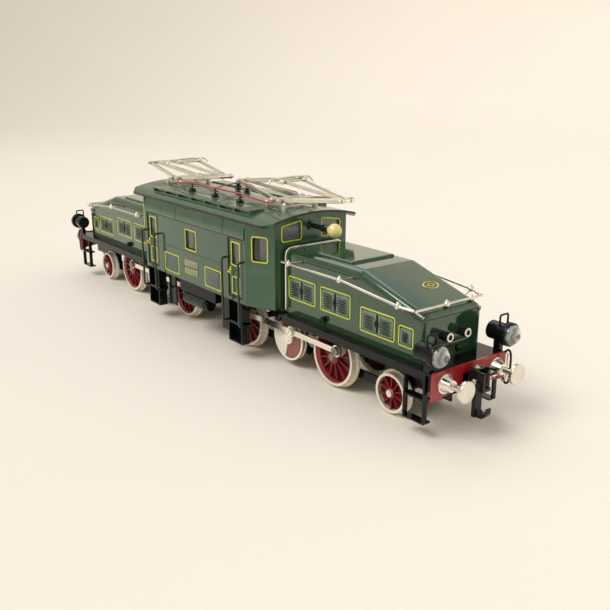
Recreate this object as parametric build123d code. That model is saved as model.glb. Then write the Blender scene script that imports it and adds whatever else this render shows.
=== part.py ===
from build123d import *
import os
from math import atan2, cos, degrees, hypot, radians, sin

os.makedirs("parts", exist_ok=True)

# Gauge 0 articulated electric locomotive, in millimetres.
# +X runs along the track, +Y across it, +Z up. The model is drawn with Z = 0 at the top of the rails and
# with its middle at X = 0; show_part() lifts it so that the wheel flanges stand on Z = 0.
# Everything is the same at both ends: end = +1 is the front bogie, end = -1 the rear one.

# ---- driving dimensions ----
LENGTH_OVER_BUFFERS = 460.0
FLANGE_DEPTH = 1.4
SHEET = 1.2                    # thickness of the formed sheet metal
GAP = 0.3                      # air between pieces that move past each other
RUN = 0.05                     # radial clearance of pins, shafts and axles

# cab
CAB_SIDE_X = 66.3              # where the straight side meets the slanted corner panel
CAB_FRONT_X = 85.0
CAB_SIDE_Y = 36.2
CAB_FRONT_Y = 27.5
CAB_BOTTOM = 35.8
SHOULDER_BOTTOM, SHOULDER_TOP, SHOULDER_IN = 77.0, 89.0, 2.4
FLOOR_BOTTOM, FLOOR_THICK = 37.0, 1.2
DOOR_X0, DOOR_X1 = 46.8, 62.6  # door opening along the side
DOOR_Z0, DOOR_Z1 = 38.6, 76.2
DOOR_THICK = 1.0
PANE_X0, PANE_X1, PANE_Z0, PANE_Z1 = 50.3, 59.0, 59.2, 73.3   # opening in a door
MIDDLE_WINDOW = (6.6, 59.2, 72.0)                             # half width, bottom, top
CORNER_WINDOW = (4.9, 15.3, 64.8, 79.6)                       # along the corner panel, and in height
END_WINDOW = (8.1, 22.1, 77.6, 86.3, 88.6)                    # inner, outer, bottom, top outer, top inner

# roof
ROOF_X, ROOF_TIP_Y, ROOF_CORNER_X = 90.0, 31.0, 83.0
ROOF_EAVE_Y, ROOF_EAVE_Z, ROOF_CROWN_Z = 36.0, 87.2, 94.5
ROOF_KNEE_Y, ROOF_KNEE_Z = 28.0, 91.2          # where the wide arc meets the steeper shoulder
ROOF_EDGE_Z = ROOF_EAVE_Z + 1.0
WALK_X, WALK_Y0, WALK_Y1 = 62.5, 19.4, 30.0
WALK_SLOTS = 7
INSULATOR_Y = -16.0
INSULATOR_PITCH = 30.5
BUS_Z = 99.0
TALL_INSULATOR_TOP = 102.0

# cab steps and door handrails
STEP_OUT, STEP_RAIL_Z = 1.0, 22.0
HANDRAIL_TOP_Z, HANDRAIL_REACH = 63.0, 3.9

# pantographs
PANTO_X = 64.0
PANTO_SHAFT_X = 3.5            # each lower shaft is this far from the middle of its pantograph
PANTO_SHAFT_Z = 98.6
PANTO_ARM = 50.0
PANTO_RISE = 5.7               # from lower shaft to knee when folded
PANTO_BASE_Y = 12.0
LOWER_ARM = (2.8, 1.6)         # height and width of an arm's bar
UPPER_ARM = (2.2, 1.2)
KNEE_PIN_R, HEAD_SHAFT_R = 0.6, 0.7
OPEN_PIVOT_AIR = 0.25          # extra radial air where the folding frame is left open

# bogie
PIVOT_X = 60.0
PONY_X, OUTER_X, JACK_X, INNER_X = 177.5, 129.4, 86.3, 40.6
PONY_R, DRIVER_R, DISC_R = 11.0, 17.2, 14.5
BACK_Y, TREAD_Y, FACE_Y = 14.2, 15.4, 19.2    # wheel back, start of tread, outer face
AXLE_R = 2.0
AXLE_Z = DRIVER_R
CRANK = 8.0
LEFT_CRANK_ANGLE, RIGHT_CRANK_ANGLE = 45.0, 135.0
PIN_R = 1.5
ROD_Y0, ROD_Y1 = 20.2, 21.4
FRAME_Y = 12.2
FRAME_X0, FRAME_X1 = 31.0, 213.6
FRAME_TOP = 33.8
KING_PIN_R = 3.0
DRIVER_RIM, DRIVER_HUB = 1.6, 4.4              # width of a wheel's rim, radius of its hub
PONY_RIM, PONY_HUB = 1.5, 2.9
CRANK_BOSS_R = 3.4
WEB_DEPTH = 2.4                # from the wheel's back to the front of the web between its spokes
WEIGHT_LAG = 150.0             # a balance weight stands this far round from the crank

# hood
HOOD_X0, HOOD_X1, HOOD_BEND_X = 87.5, 202.0, 154.0
HOOD_Y = 21.5
HOOD_TOP, HOOD_NOSE_TOP = 74.0, 60.0
HOOD_ROUND = 4.5

# footplate, beam and front fittings
PLATE_TOP, PLATE_THICK, PLATE_Y = 35.0, 1.2, 27.7
PLATE_X0 = 92.0
BEAM_X0, BEAM_THICK, BEAM_Z0, BEAM_Z1 = 213.8, 1.2, 20.5, 35.6
BUFFER_Y, BUFFER_Z, BUFFER_STEM_R = 19.0, 28.9, 1.7
LAMP_X0, LAMP_X1, LAMP_Y, LAMP_Z = 204.5, 217.5, 26.8, 45.3
LAMP_R, LAMP_DRUM_R, LAMP_DOME = 6.4, 5.0, 5.0  # rim, drum, and how far the lens stands out
RAIL_Y, RAIL_Z, RAIL_NOSE_Z = 27.2, 67.4, 62.6
CURL_R = 5.2                   # the running board's end curls down to this radius
COUPLER_PIVOT_X = 207.0

ENDS = (1, -1)
SIDES = (-1, 1)
END_NAMES = {1: "front", -1: "rear"}
SIDE_NAMES = {-1: "left", 1: "right"}


# ---- small helpers ----
def block(x0, x1, y0, y1, z0, z1):
    """A box between two corners, given in any order."""
    low = [min(a, b) for a, b in ((x0, x1), (y0, y1), (z0, z1))]
    size = [abs(a - b) for a, b in ((x0, x1), (y0, y1), (z0, z1))]
    return Pos(*low) * Box(*size, align=(Align.MIN, Align.MIN, Align.MIN))


def rod_between(start, end, radius):
    """A round bar from one point to another."""
    start, end = Vector(*start), Vector(*end)
    span = end - start
    plane = Plane(origin=start, z_dir=span.normalized())
    return extrude(plane * Circle(radius), span.length)


def along_x(x0, x1, y, z, radius):
    return rod_between((min(x0, x1), y, z), (max(x0, x1), y, z), radius)


def along_y(x, y0, y1, z, radius):
    return rod_between((x, min(y0, y1), z), (x, max(y0, y1), z), radius)


def along_z(x, y, z0, z1, radius):
    return rod_between((x, y, min(z0, z1)), (x, y, max(z0, z1)), radius)


def ball(x, y, z, radius):
    return Pos(x, y, z) * Sphere(radius)


def bent_rod(points, bend, radius):
    """A round bar through points, its corners bent to the given radius."""
    path = FilletPolyline(*points, radius=bend)
    section = Plane(origin=path @ 0, z_dir=path % 0) * Circle(radius)
    return sweep(section, path=path)


def upright_prism(outline, z0, z1):
    """A plan outline drawn up from one height to another."""
    return Pos(0, 0, z0) * extrude(Polygon(*outline, align=None), z1 - z0, dir=(0, 0, 1))


def joined(shapes):
    """Shapes that overlap, welded to one piece."""
    total = shapes[0]
    for shape in shapes[1:]:
        total = total + shape
    return total


def mirrored(shape, end):
    """The shape as it is at the front, or turned to the rear end by a mirror in the YZ plane."""
    return shape if end > 0 else mirror(shape, Plane.YZ)


def show_part(name, solids):
    """Writes one named piece, or a group of equal pieces, standing on the flanges."""
    flat = []
    for shape in solids:
        flat += list(shape.solids())
    lifted = [Pos(0, 0, FLANGE_DEPTH) * solid for solid in flat]
    export_step(lifted[0] if len(lifted) == 1 else Compound(children=lifted), f"parts/{name}.step")


def at_end(x, end):
    return x * end


# ---- roof outline, shared by the roof and the walls under it ----
CROWN_RISE = ROOF_CROWN_Z - ROOF_KNEE_Z
CROWN_RADIUS = (ROOF_KNEE_Y ** 2 + CROWN_RISE ** 2) / (2 * CROWN_RISE)


def roof_height(y):
    """Height of the roof's outside at a distance from the middle: one wide arc, then a steeper shoulder."""
    y = abs(y)
    if y <= ROOF_KNEE_Y:
        return ROOF_CROWN_Z - CROWN_RADIUS + (CROWN_RADIUS ** 2 - y ** 2) ** 0.5
    share = (y - ROOF_KNEE_Y) / (ROOF_EAVE_Y - ROOF_KNEE_Y)
    return ROOF_KNEE_Z - share * (ROOF_KNEE_Z - ROOF_EDGE_Z) + 0.35 * (1 - (2 * share - 1) ** 2)


def under_roof(drop, half_length):
    """The space under the roof skin, lowered by drop, as long as asked each way."""
    eave, knee = ROOF_EAVE_Y - drop, ROOF_KNEE_Y
    points = {y: roof_height(y) - drop for y in (0, knee, (knee + ROOF_EAVE_Y) / 2, ROOF_EAVE_Y)}
    middle, edge_z = (knee + ROOF_EAVE_Y) / 2, points[ROOF_EAVE_Y]
    crown = ThreePointArc((-knee, points[knee]), (0, points[0]), (knee, points[knee]))
    right = ThreePointArc((knee, points[knee]), (middle - drop / 2, points[middle]), (eave, edge_z))
    left = ThreePointArc((-eave, edge_z), (drop / 2 - middle, points[middle]), (-knee, points[knee]))
    sides = Polyline((eave, edge_z), (eave, 0), (-eave, 0), (-eave, edge_z))
    return extrude(Plane.YZ * make_face(left + crown + right + sides), half_length, both=True)


def wall_space():
    """Where the cab's sheets may be: anywhere below the eaves, and only inside the roof skin above them."""
    below = block(-ROOF_X, ROOF_X, -ROOF_EAVE_Y - 1, ROOF_EAVE_Y + 1, 0, ROOF_EAVE_Z - 0.45)
    return below + under_roof(SHEET + 0.02, ROOF_X)


def roof_plan():
    """Plan of the roof: a long rectangle with its corners cut at a slant."""
    side = ROOF_EAVE_Y + 0.01
    outline = [(ROOF_CORNER_X, side), (ROOF_X, ROOF_TIP_Y), (ROOF_X, -ROOF_TIP_Y), (ROOF_CORNER_X, -side)]
    outline += [(-x, -y) for x, y in outline]
    return upright_prism(outline, 0, 120)


# ---- cab ----
def wall_profile(offset):
    """The outside of a side wall in section, moved inwards by offset."""
    y, top_y = CAB_SIDE_Y - offset, CAB_SIDE_Y - SHOULDER_IN - offset
    return y, top_y


def side_wall(side):
    outer_y, outer_top = wall_profile(0)
    inner_y, inner_top = wall_profile(SHEET)
    middle_z = (SHOULDER_BOTTOM + SHOULDER_TOP) / 2
    outside = ThreePointArc((outer_y, SHOULDER_BOTTOM), (outer_y - 0.6, middle_z), (outer_top, SHOULDER_TOP))
    inside = ThreePointArc((inner_top, SHOULDER_TOP), (inner_y - 0.6, middle_z), (inner_y, SHOULDER_BOTTOM))
    face = make_face(Line((inner_y, CAB_BOTTOM), (outer_y, CAB_BOTTOM))
                     + Line((outer_y, CAB_BOTTOM), (outer_y, SHOULDER_BOTTOM)) + outside
                     + Line((outer_top, SHOULDER_TOP), (inner_top, SHOULDER_TOP)) + inside
                     + Line((inner_y, SHOULDER_BOTTOM), (inner_y, CAB_BOTTOM)))
    wall = extrude(Plane.YZ * face, CAB_SIDE_X, both=True)
    half, low, high = MIDDLE_WINDOW
    wall -= block(-half, half, inner_y - 1, outer_y + 1, low, high)
    for end in ENDS:
        wall -= block(at_end(DOOR_X0, end), at_end(DOOR_X1, end), inner_y - 1, outer_y + 1, DOOR_Z0, DOOR_Z1)
    wall = wall & wall_space()
    return wall if side > 0 else mirror(wall, Plane.XZ)


def corner_outline(offset):
    """Plan of the end wall and its two slanted corners, moved inwards by offset."""
    slant = hypot(CAB_FRONT_X - CAB_SIDE_X, CAB_SIDE_Y - CAB_FRONT_Y)
    slope = (CAB_FRONT_X - CAB_SIDE_X) / (CAB_SIDE_Y - CAB_FRONT_Y)
    side_x = CAB_SIDE_X + GAP / 10
    side_y = CAB_SIDE_Y - offset * slant / (CAB_FRONT_X - CAB_SIDE_X)
    front_x = CAB_FRONT_X - offset
    front_y = side_y - (front_x - side_x) / slope
    return [(side_x, side_y), (front_x, front_y), (front_x, -front_y), (side_x, -side_y)]


def end_wall(end):
    inner = corner_outline(SHEET)
    inner[0] = (inner[0][0] - 1, inner[0][1])
    inner[3] = (inner[3][0] - 1, inner[3][1])
    wall = upright_prism(corner_outline(0), CAB_BOTTOM, 110) - upright_prism(inner, 0, 120)
    wall = wall & wall_space()
    slant = degrees(atan2(CAB_SIDE_Y - CAB_FRONT_Y, CAB_FRONT_X - CAB_SIDE_X))
    s0, s1, low, high = CORNER_WINDOW
    for side in SIDES:
        opening = fillet(block(s0, s1, -4, 4, low, high).edges().filter_by(Axis.Y), 1.4)
        wall -= Pos(CAB_SIDE_X, side * CAB_SIDE_Y, 0) * Rot(0, 0, -side * slant) * opening
        near, far, bottom, top_far, top_near = END_WINDOW
        outline = [(near, bottom), (far, bottom), (far, top_far), (near, top_near)]
        pane = make_face(Polyline(*[(side * y, z) for y, z in outline], close=True))
        pane = fillet(pane.vertices(), 1.2)
        wall -= Pos(CAB_FRONT_X - 3, 0, 0) * extrude(Plane.YZ * pane, 6)
    return mirrored(wall, end)


def cab_floor():
    """The floor plate inside the walls, with a hole for each bogie's king pin."""
    plan = corner_outline(SHEET + GAP)
    side_corner = (CAB_SIDE_X - 2, CAB_SIDE_Y - SHEET)
    outline = [side_corner] + plan[1:3] + [(side_corner[0], -side_corner[1])]
    outline += [(-x, -y) for x, y in outline]
    floor = upright_prism(outline, FLOOR_BOTTOM, FLOOR_BOTTOM + FLOOR_THICK)
    for end in ENDS:
        floor -= along_z(at_end(PIVOT_X, end), 0, 30, 45, KING_PIN_R + RUN)
    return floor


def door(end, side):
    """A door whose hinge edge is rounded about the hinge, with a pane opening and a lever handle."""
    left, right = sorted((at_end(DOOR_X0, end), at_end(DOOR_X1, end)))
    outer = side * (CAB_SIDE_Y - 0.5)
    inner = side * (CAB_SIDE_Y - 0.5 - DOOR_THICK)
    barrel_r = DOOR_THICK / 2
    hinge_x = left + GAP + barrel_r if side > 0 else right - GAP - barrel_r
    latch_edge = right - GAP if side > 0 else left + GAP
    leaf = block(latch_edge, hinge_x, outer, inner, DOOR_Z0 + GAP, DOOR_Z1 - GAP)
    leaf = leaf + along_z(hinge_x, (outer + inner) / 2, DOOR_Z0 + GAP, DOOR_Z1 - GAP, barrel_r)
    pane0, pane1 = at_end(PANE_X0, end), at_end(PANE_X1, end)
    pane = block(pane0, pane1, side * 33, side * 38, PANE_Z0, PANE_Z1)
    leaf -= fillet(pane.edges().filter_by(Axis.Y), 1.0)
    hinge_dir = -side
    latch_x = left + 2.3 if hinge_dir > 0 else right - 2.3
    grip = bent_rod([(latch_x, outer, 55.2), (latch_x, outer + side * 2.8, 55.2),
                     (latch_x + hinge_dir * 3.4, outer + side * 2.8, 54.6)], 0.9, 0.65)
    plate = block(latch_x - 0.9, latch_x + 0.9, outer, outer + side * 0.5, 52.8, 57.6)
    return [leaf, joined([plate, grip])]


def roof():
    shell = under_roof(0, ROOF_X) - under_roof(SHEET, ROOF_X + 1)
    shell = shell & roof_plan()
    return shell & block(-ROOF_X, ROOF_X, -40, 40, ROOF_EAVE_Z - 0.4, 100)


def walkway(side):
    """A slatted walkway on the edge of the roof, its outer face pierced by a row of slots."""
    foot_out, foot_in = roof_height(WALK_Y1), roof_height(WALK_Y0)
    outline = [(WALK_Y1, foot_out - 0.6), (WALK_Y1, foot_out + 3.0)]
    outline += [(WALK_Y0, foot_in + 1.0), (WALK_Y0, foot_in - 0.2)]
    body = extrude(Plane.YZ * make_face(Polyline(*outline, close=True)), WALK_X, both=True)
    body -= under_roof(0, 100)
    pitch = 2 * WALK_X / WALK_SLOTS
    for i in range(WALK_SLOTS):
        x0 = -WALK_X + i * pitch + 0.8
        body -= block(x0, x0 + pitch - 1.6, WALK_Y1 - 2.2, WALK_Y1 + 1, foot_out + 0.5, foot_out + 2.2)
    return body if side > 0 else mirror(body, Plane.XZ)


def insulator(x, y, top):
    """A ribbed insulator on the roof, with a metal cap."""
    foot = roof_height(y) - 0.3
    body = along_z(x, y, foot, top, 0.9) - under_roof(0, 100)
    stack = [body]
    height = top - foot
    for level, radius in ((0.16, 2.5), (0.42, 2.7), (0.68, 2.2)):
        z = foot + height * level
        disc = Pos(x, y, z) * Cylinder(radius, height * 0.14)
        stack.append(chamfer(disc.edges().filter_by(GeomType.CIRCLE), height * 0.05) - under_roof(0, 100))
    return joined(stack)


def door_handrails():
    """Two bent grab rails beside each door."""
    rails = []
    for end in ENDS:
        for side in SIDES:
            for x in (DOOR_X0 - 1.6, DOOR_X1 + 1.4):
                wall, out, tread = (side * (CAB_SIDE_Y + reach) for reach in (0, HANDRAIL_REACH, STEP_OUT))
                points = [(at_end(x, end), wall, HANDRAIL_TOP_Z), (at_end(x, end), out, HANDRAIL_TOP_Z),
                          (at_end(x, end), out, STEP_RAIL_Z), (at_end(x, end), tread, STEP_RAIL_Z)]
                rails.append(bent_rod(points, 1.6, 0.75))
    return rails


def door_steps():
    """A ladder under each door: two side plates, a back, two treads and a guard plate beside it."""
    steps = []
    back, inner, outer = CAB_SIDE_Y - 5.2, DOOR_X0 + 0.2, DOOR_X1 - 0.2
    for end in ENDS:
        for side in SIDES:
            y0, y1 = side * back, side * (CAB_SIDE_Y + STEP_OUT)
            ladder = [block(at_end(x, end), at_end(x + 1.0, end), y0, y1, 9.0, CAB_BOTTOM)
                      for x in (inner, outer - 1.0)]
            ladder.append(block(at_end(inner, end), at_end(outer, end), y0, y1, 9.0, 10.0))
            ladder.append(block(at_end(inner - 2.6, end), at_end(outer + 2.6, end), y0, y1,
                                STEP_RAIL_Z - 0.8, STEP_RAIL_Z + 0.8))
            ladder.append(block(at_end(inner, end), at_end(outer, end), y0, y0 + side * 0.8, 9.0, CAB_BOTTOM))
            steps.append(joined(ladder))
            steps.append(block(at_end(31, end), at_end(41, end), y0, y0 + side * 1.0, 12.0, CAB_BOTTOM))
    return steps


def underframe_equipment():
    """An air cylinder with a domed cap, hung under a flat box, on each side of the cab."""
    pieces = []
    for side in SIDES:
        y, z, r = side * 30.5, 22.2, 4.6
        tank = along_x(-17, 11, y, z, r)
        tank = fillet(tank.edges().filter_by(GeomType.CIRCLE), 1.4)
        pieces.append(tank)
        pieces.append(along_x(11.02, 14.5, y, z, 3.7))
        box = block(-20, 27, side * 27.0, side * 34.5, 27.4, CAB_BOTTOM)
        straps = [block(x, x + 1.6, side * 29.7, side * 31.3, z + r - 0.5, 27.4) - tank for x in (-12, 5)]
        pieces.append(joined([box] + straps))
    return pieces


def cab_lamp(end):
    """A lamp on a long stepped socket, and its bulb."""
    z = 85.0
    socket = joined([along_x(CAB_FRONT_X + 0.02, CAB_FRONT_X + 1.6, 0, z, 3.0),
                     along_x(CAB_FRONT_X + 1.0, CAB_FRONT_X + 17.5, 0, z, 1.5),
                     along_x(CAB_FRONT_X + 11, CAB_FRONT_X + 17.5, 0, z, 2.3)])
    bulb_x = CAB_FRONT_X + 21.85
    bulb = ball(bulb_x, 0, z, 4.3) + along_x(CAB_FRONT_X + 17.52, bulb_x, 0, z, 2.2)
    return [mirrored(socket, end), mirrored(bulb, end)]


# ---- pantographs ----
KNEE_REACH = (PANTO_ARM ** 2 - PANTO_RISE ** 2) ** 0.5
KNEE_Z = PANTO_SHAFT_Z + PANTO_RISE
HEAD_Z = PANTO_SHAFT_Z + 2 * PANTO_RISE


def panto_base(end):
    """A riveted base: two side rails on four feet, joined by cross bars, with a bearing lug per shaft end."""
    c = at_end(PANTO_X, end)
    pieces = []
    for side in SIDES:
        y = side * PANTO_BASE_Y
        pieces.append(block(c - 11, c + 11, y - 1.0, y + 1.0, 95.6, 96.6))
        for x in (-PANTO_SHAFT_X, PANTO_SHAFT_X):
            lug = block(c + x - 1.7, c + x + 1.7, y - 0.8, y + 0.8, 96.4, PANTO_SHAFT_Z)
            lug = lug + along_y(c + x, y - 0.8, y + 0.8, PANTO_SHAFT_Z, 1.7)
            pieces.append(lug - along_y(c + x, y - 3, y + 3, PANTO_SHAFT_Z, 0.9 + RUN))
        for x in (-9.0, 9.0):
            foot = along_z(c + x, y, roof_height(y) - 0.4, 95.8, 1.8) - under_roof(0, 100)
            pieces.append(foot)
    for x in (-10.0, 9.0):
        pieces.append(block(c + x, c + x + 1.0, -PANTO_BASE_Y, PANTO_BASE_Y, 95.6, 96.6))
    return joined(pieces)


def flat_bar(start, end, height, width):
    """A straight bar of rectangular section whose wide side stands upright."""
    start, end = Vector(*start), Vector(*end)
    span = end - start
    across = span.cross(Vector(0, 0, 1)).normalized()
    plane = Plane(origin=start, x_dir=across, z_dir=span.normalized())
    bar = extrude(plane * Rectangle(width, height), span.length)
    return chamfer(bar.edges().filter_by(lambda edge: edge.length > span.length * 0.9), 0.3)


def lower_arm(end, way):
    """A V of two bars from a cross shaft to the knee, where it carries the knee pin and its nuts."""
    c = at_end(PANTO_X, end) + way * PANTO_SHAFT_X
    knee = c + way * KNEE_REACH
    pieces = [along_y(c, -PANTO_BASE_Y - 1.4, PANTO_BASE_Y + 1.4, PANTO_SHAFT_Z, 0.9)]
    for side in SIDES:
        pieces.append(flat_bar((c, side * 9.6, PANTO_SHAFT_Z), (knee, side * 3.4, KNEE_Z), *LOWER_ARM))
        pieces.append(along_y(knee, side * 2.6, side * 4.2, KNEE_Z, 1.7))
        pieces.append(along_y(knee, side * 4.6, side * 5.4, KNEE_Z, 1.1))
        pieces.append(along_y(c, side * 8.5, side * 10.7, PANTO_SHAFT_Z, 1.6))
    pieces.append(along_y(knee, -5.9, 5.9, KNEE_Z, KNEE_PIN_R))
    return joined(pieces)


def upper_arm(end, way):
    """A V of two bars from the knee hub to a cross shaft under the collector."""
    c = at_end(PANTO_X, end) + way * PANTO_SHAFT_X
    knee = c + way * KNEE_REACH
    hub = along_y(knee, -2.0, 2.0, KNEE_Z, 1.35)
    pieces = [hub]
    for side in SIDES:
        pieces.append(flat_bar((knee, side * 1.1, KNEE_Z), (c, side * 7.6, HEAD_Z), *UPPER_ARM))
        pieces.append(along_y(c, side * 6.8, side * 8.4, HEAD_Z, 1.4))
    pieces.append(along_y(c, -10.6, 10.6, HEAD_Z, HEAD_SHAFT_R))
    return joined(pieces) - along_y(knee, -7, 7, KNEE_Z, KNEE_PIN_R + RUN)


def collector_bow(end):
    """The collector strip, curved down at both ends, on two side plates that hold both upper shafts."""
    c = at_end(PANTO_X, end)
    pieces = []
    for side in SIDES:
        plate = block(c - 5.2, c + 5.2, side * 9.2, side * 10.0, HEAD_Z - 1.6, HEAD_Z + 1.4)
        pieces.append(fillet(plate.edges().filter_by(Axis.Y), 1.3))
        pieces.append(rod_between((c, side * 9.6, HEAD_Z + 0.6), (c, side * 12.0, HEAD_Z + 1.6), 0.6))
    strip = bent_rod([(c, -17.6, HEAD_Z - 1.4), (c, -14.6, HEAD_Z + 1.4), (c, -0.1, HEAD_Z + 2.1),
                      (c, 14.4, HEAD_Z + 1.4), (c, 17.4, HEAD_Z - 1.4)], 3.0, 0.55)
    bow = joined(pieces + [strip])
    bow -= along_y(c + end * PANTO_SHAFT_X, -12, 12, HEAD_Z, HEAD_SHAFT_R + RUN)
    return bow - along_y(c - end * PANTO_SHAFT_X, -12, 12, HEAD_Z, HEAD_SHAFT_R + OPEN_PIVOT_AIR)


def busbars():
    """Red feeder bars: the long one over the outer insulators, a branch, and the feed to one pantograph."""
    y = INSULATOR_Y
    rise = [(-PANTO_X + 8, y, 96.4), (-INSULATOR_PITCH - 3, y, BUS_Z), (INSULATOR_PITCH, y, BUS_Z),
            (PANTO_X - 5.5, y, 97.4), (PANTO_X - 1, -PANTO_BASE_Y - 1.5, 97.6)]
    main = bent_rod(rise, 1.5, 0.55)
    branch = bent_rod([(0, y + 0.2, BUS_Z), (-5, -4, 99.4), (-8, 6.3, 99.6)], 2.0, 0.45)
    feed = bent_rod([(-8, 8, TALL_INSULATOR_TOP + 0.3), (12, 12.8, 101.6), (PANTO_X - 13, 14.6, 99.6),
                     (PANTO_X - 9, PANTO_BASE_Y + 1.4, 96.6)], 2.0, 0.45)
    return [joined([main, branch]), feed]


def insulators():
    group = [insulator(i * INSULATOR_PITCH, INSULATOR_Y, BUS_Z - 0.57) for i in (-1, 0, 1)]
    branch_space = rod_between((-5, -4, 99.4), (-8, 6.3, 99.6), 0.5)
    group.append(insulator(-8, 8, TALL_INSULATOR_TOP - 0.17) - branch_space)
    group.append(insulator(2, 8.5, 98.0))
    return group


# ---- wheels ----
def half_wheel_section(radius, side):
    """A wheel's tyre with its flange."""
    tyre = along_y(0, side * TREAD_Y, side * FACE_Y, 0, radius)
    flange = along_y(0, side * BACK_Y, side * TREAD_Y, 0, radius + FLANGE_DEPTH)
    return joined([flange, tyre])


def balance_weight(inner, angle, side):
    """A crescent inside the rim of a driving wheel, thickest opposite the crank."""
    turn = radians(angle + WEIGHT_LAG)
    y0, y1 = side * (BACK_Y + 1.6), side * (FACE_Y - 0.5)
    crescent = along_y(0, y0, y1, 0, inner + 0.3)
    shift_x, shift_z = -2.6 * cos(turn), -2.6 * sin(turn)
    return crescent - along_y(shift_x, side * BACK_Y, side * (FACE_Y + 1), shift_z, inner - 1.2)


def spoked_wheel(x, z, radius, spokes, side, crank_angle=None):
    """A cast wheel: tyre, web and thin spokes. A driving wheel also has a balance weight and a crank boss."""
    rim, hub = (PONY_RIM, PONY_HUB) if crank_angle is None else (DRIVER_RIM, DRIVER_HUB)
    inner = radius - rim
    body = half_wheel_section(radius, side)
    body = body - along_y(0, side * (BACK_Y - 1), side * (FACE_Y + 1), 0, inner)
    body = body + along_y(0, side * (BACK_Y + 1.4), side * (BACK_Y + WEB_DEPTH), 0, inner + 0.3)
    body = body + along_y(0, side * (BACK_Y + 0.6), side * (FACE_Y - 0.3), 0, hub)
    for i in range(spokes):
        spoke = block(hub - 1, inner + 0.3, side * (BACK_Y + 1.6), side * (FACE_Y - 0.9), -0.35, 0.35)
        body = body + Rot(0, 360 * (i + 0.5) / spokes, 0) * spoke
    if crank_angle is not None:
        cx, cz = CRANK * cos(radians(crank_angle)), CRANK * sin(radians(crank_angle))
        body = body + balance_weight(inner, crank_angle, side)
        body = body + along_y(cx, side * (BACK_Y + 1.6), side * (FACE_Y + 0.6), cz, CRANK_BOSS_R)
    body = body - along_y(0, -40, 40, 0, AXLE_R)
    return Pos(x, 0, z) * body


def crank_pin(x, side, angle):
    """The pin that carries the side rod, with its slotted cap."""
    px, pz = x + CRANK * cos(radians(angle)), AXLE_Z + CRANK * sin(radians(angle))
    pin = along_y(px, side * (FACE_Y + 0.6), side * (ROD_Y1 + 0.2), pz, PIN_R)
    cap = along_y(px, side * (ROD_Y1 + 0.2), side * (ROD_Y1 + 1.5), pz, 2.7)
    cap -= Pos(px, side * (ROD_Y1 + 1.5), pz) * Rot(0, 30, 0) * Box(0.6, 1.0, 8)
    return pin + cap


def disc_wheel(x, side, angle):
    """The jackshaft's disc, with a raised rim, a fan-shaped balance weight and a crank boss."""
    face, fan_half, fan_reach = FACE_Y - 1.2, radians(62), 2 * DISC_R
    disc = along_y(0, side * TREAD_Y, side * face, 0, DISC_R)
    rim = along_y(0, side * (face - 0.5), side * (face + 1.0), 0, DISC_R)
    rim = rim - along_y(0, -40, 40, 0, DISC_R - 1.3)
    cx, cz = CRANK * cos(radians(angle)), CRANK * sin(radians(angle))
    boss = along_y(cx, side * (face - 0.2), side * (FACE_Y + 0.6), cz, CRANK_BOSS_R)
    near, far = (fan_reach * cos(fan_half), fan_reach * sin(fan_half)), (fan_reach, fan_reach * sin(fan_half))
    fan = Polygon((0, 0), (near[0], -near[1]), (far[0], -far[1]), far, near, align=None)
    weight = extrude(Plane.XZ * fan, 0.5, both=True) & along_y(0, -40, 40, 0, DISC_R - 1.0)
    weight = Pos(0, side * (face + 0.4), 0) * Rot(0, -(angle + WEIGHT_LAG), 0) * weight
    hub = along_y(0, side * TREAD_Y, side * (FACE_Y + 0.2), 0, 4.2)
    body = joined([disc, rim, hub, boss, weight]) - along_y(0, -40, 40, 0, AXLE_R)
    return Pos(x, 0, AXLE_Z) * body


def wheelset(name, x, z, make_wheel, pins):
    """Two wheels pressed on one axle, with crank pins where it drives."""
    pieces = [along_y(x, -FACE_Y - 0.9, FACE_Y + 0.9, z, AXLE_R)]
    for side, angle in ((-1, LEFT_CRANK_ANGLE), (1, RIGHT_CRANK_ANGLE)):
        pieces.append(make_wheel(side, angle))
        if pins:
            pieces.append(crank_pin(x, side, angle))
    show_part(name, pieces)


def side_rod(end, side):
    """The rod that couples the three cranks on one side."""
    angle = LEFT_CRANK_ANGLE if side < 0 else RIGHT_CRANK_ANGLE
    dx, z = CRANK * cos(radians(angle)), AXLE_Z + CRANK * sin(radians(angle))
    xs = sorted(at_end(x, end) + dx for x in (INNER_X, JACK_X, OUTER_X))
    y0, y1 = side * ROD_Y0, side * ROD_Y1
    pieces = [block(xs[0], xs[-1], y0, y1, z - 1.7, z + 1.7)]
    for x in xs:
        pieces.append(along_y(x, y0, y1, z, 3.5))
    rod = joined(pieces)
    for x in xs:
        rod -= along_y(x, -40, 40, z, PIN_R + RUN)
    return rod


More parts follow.
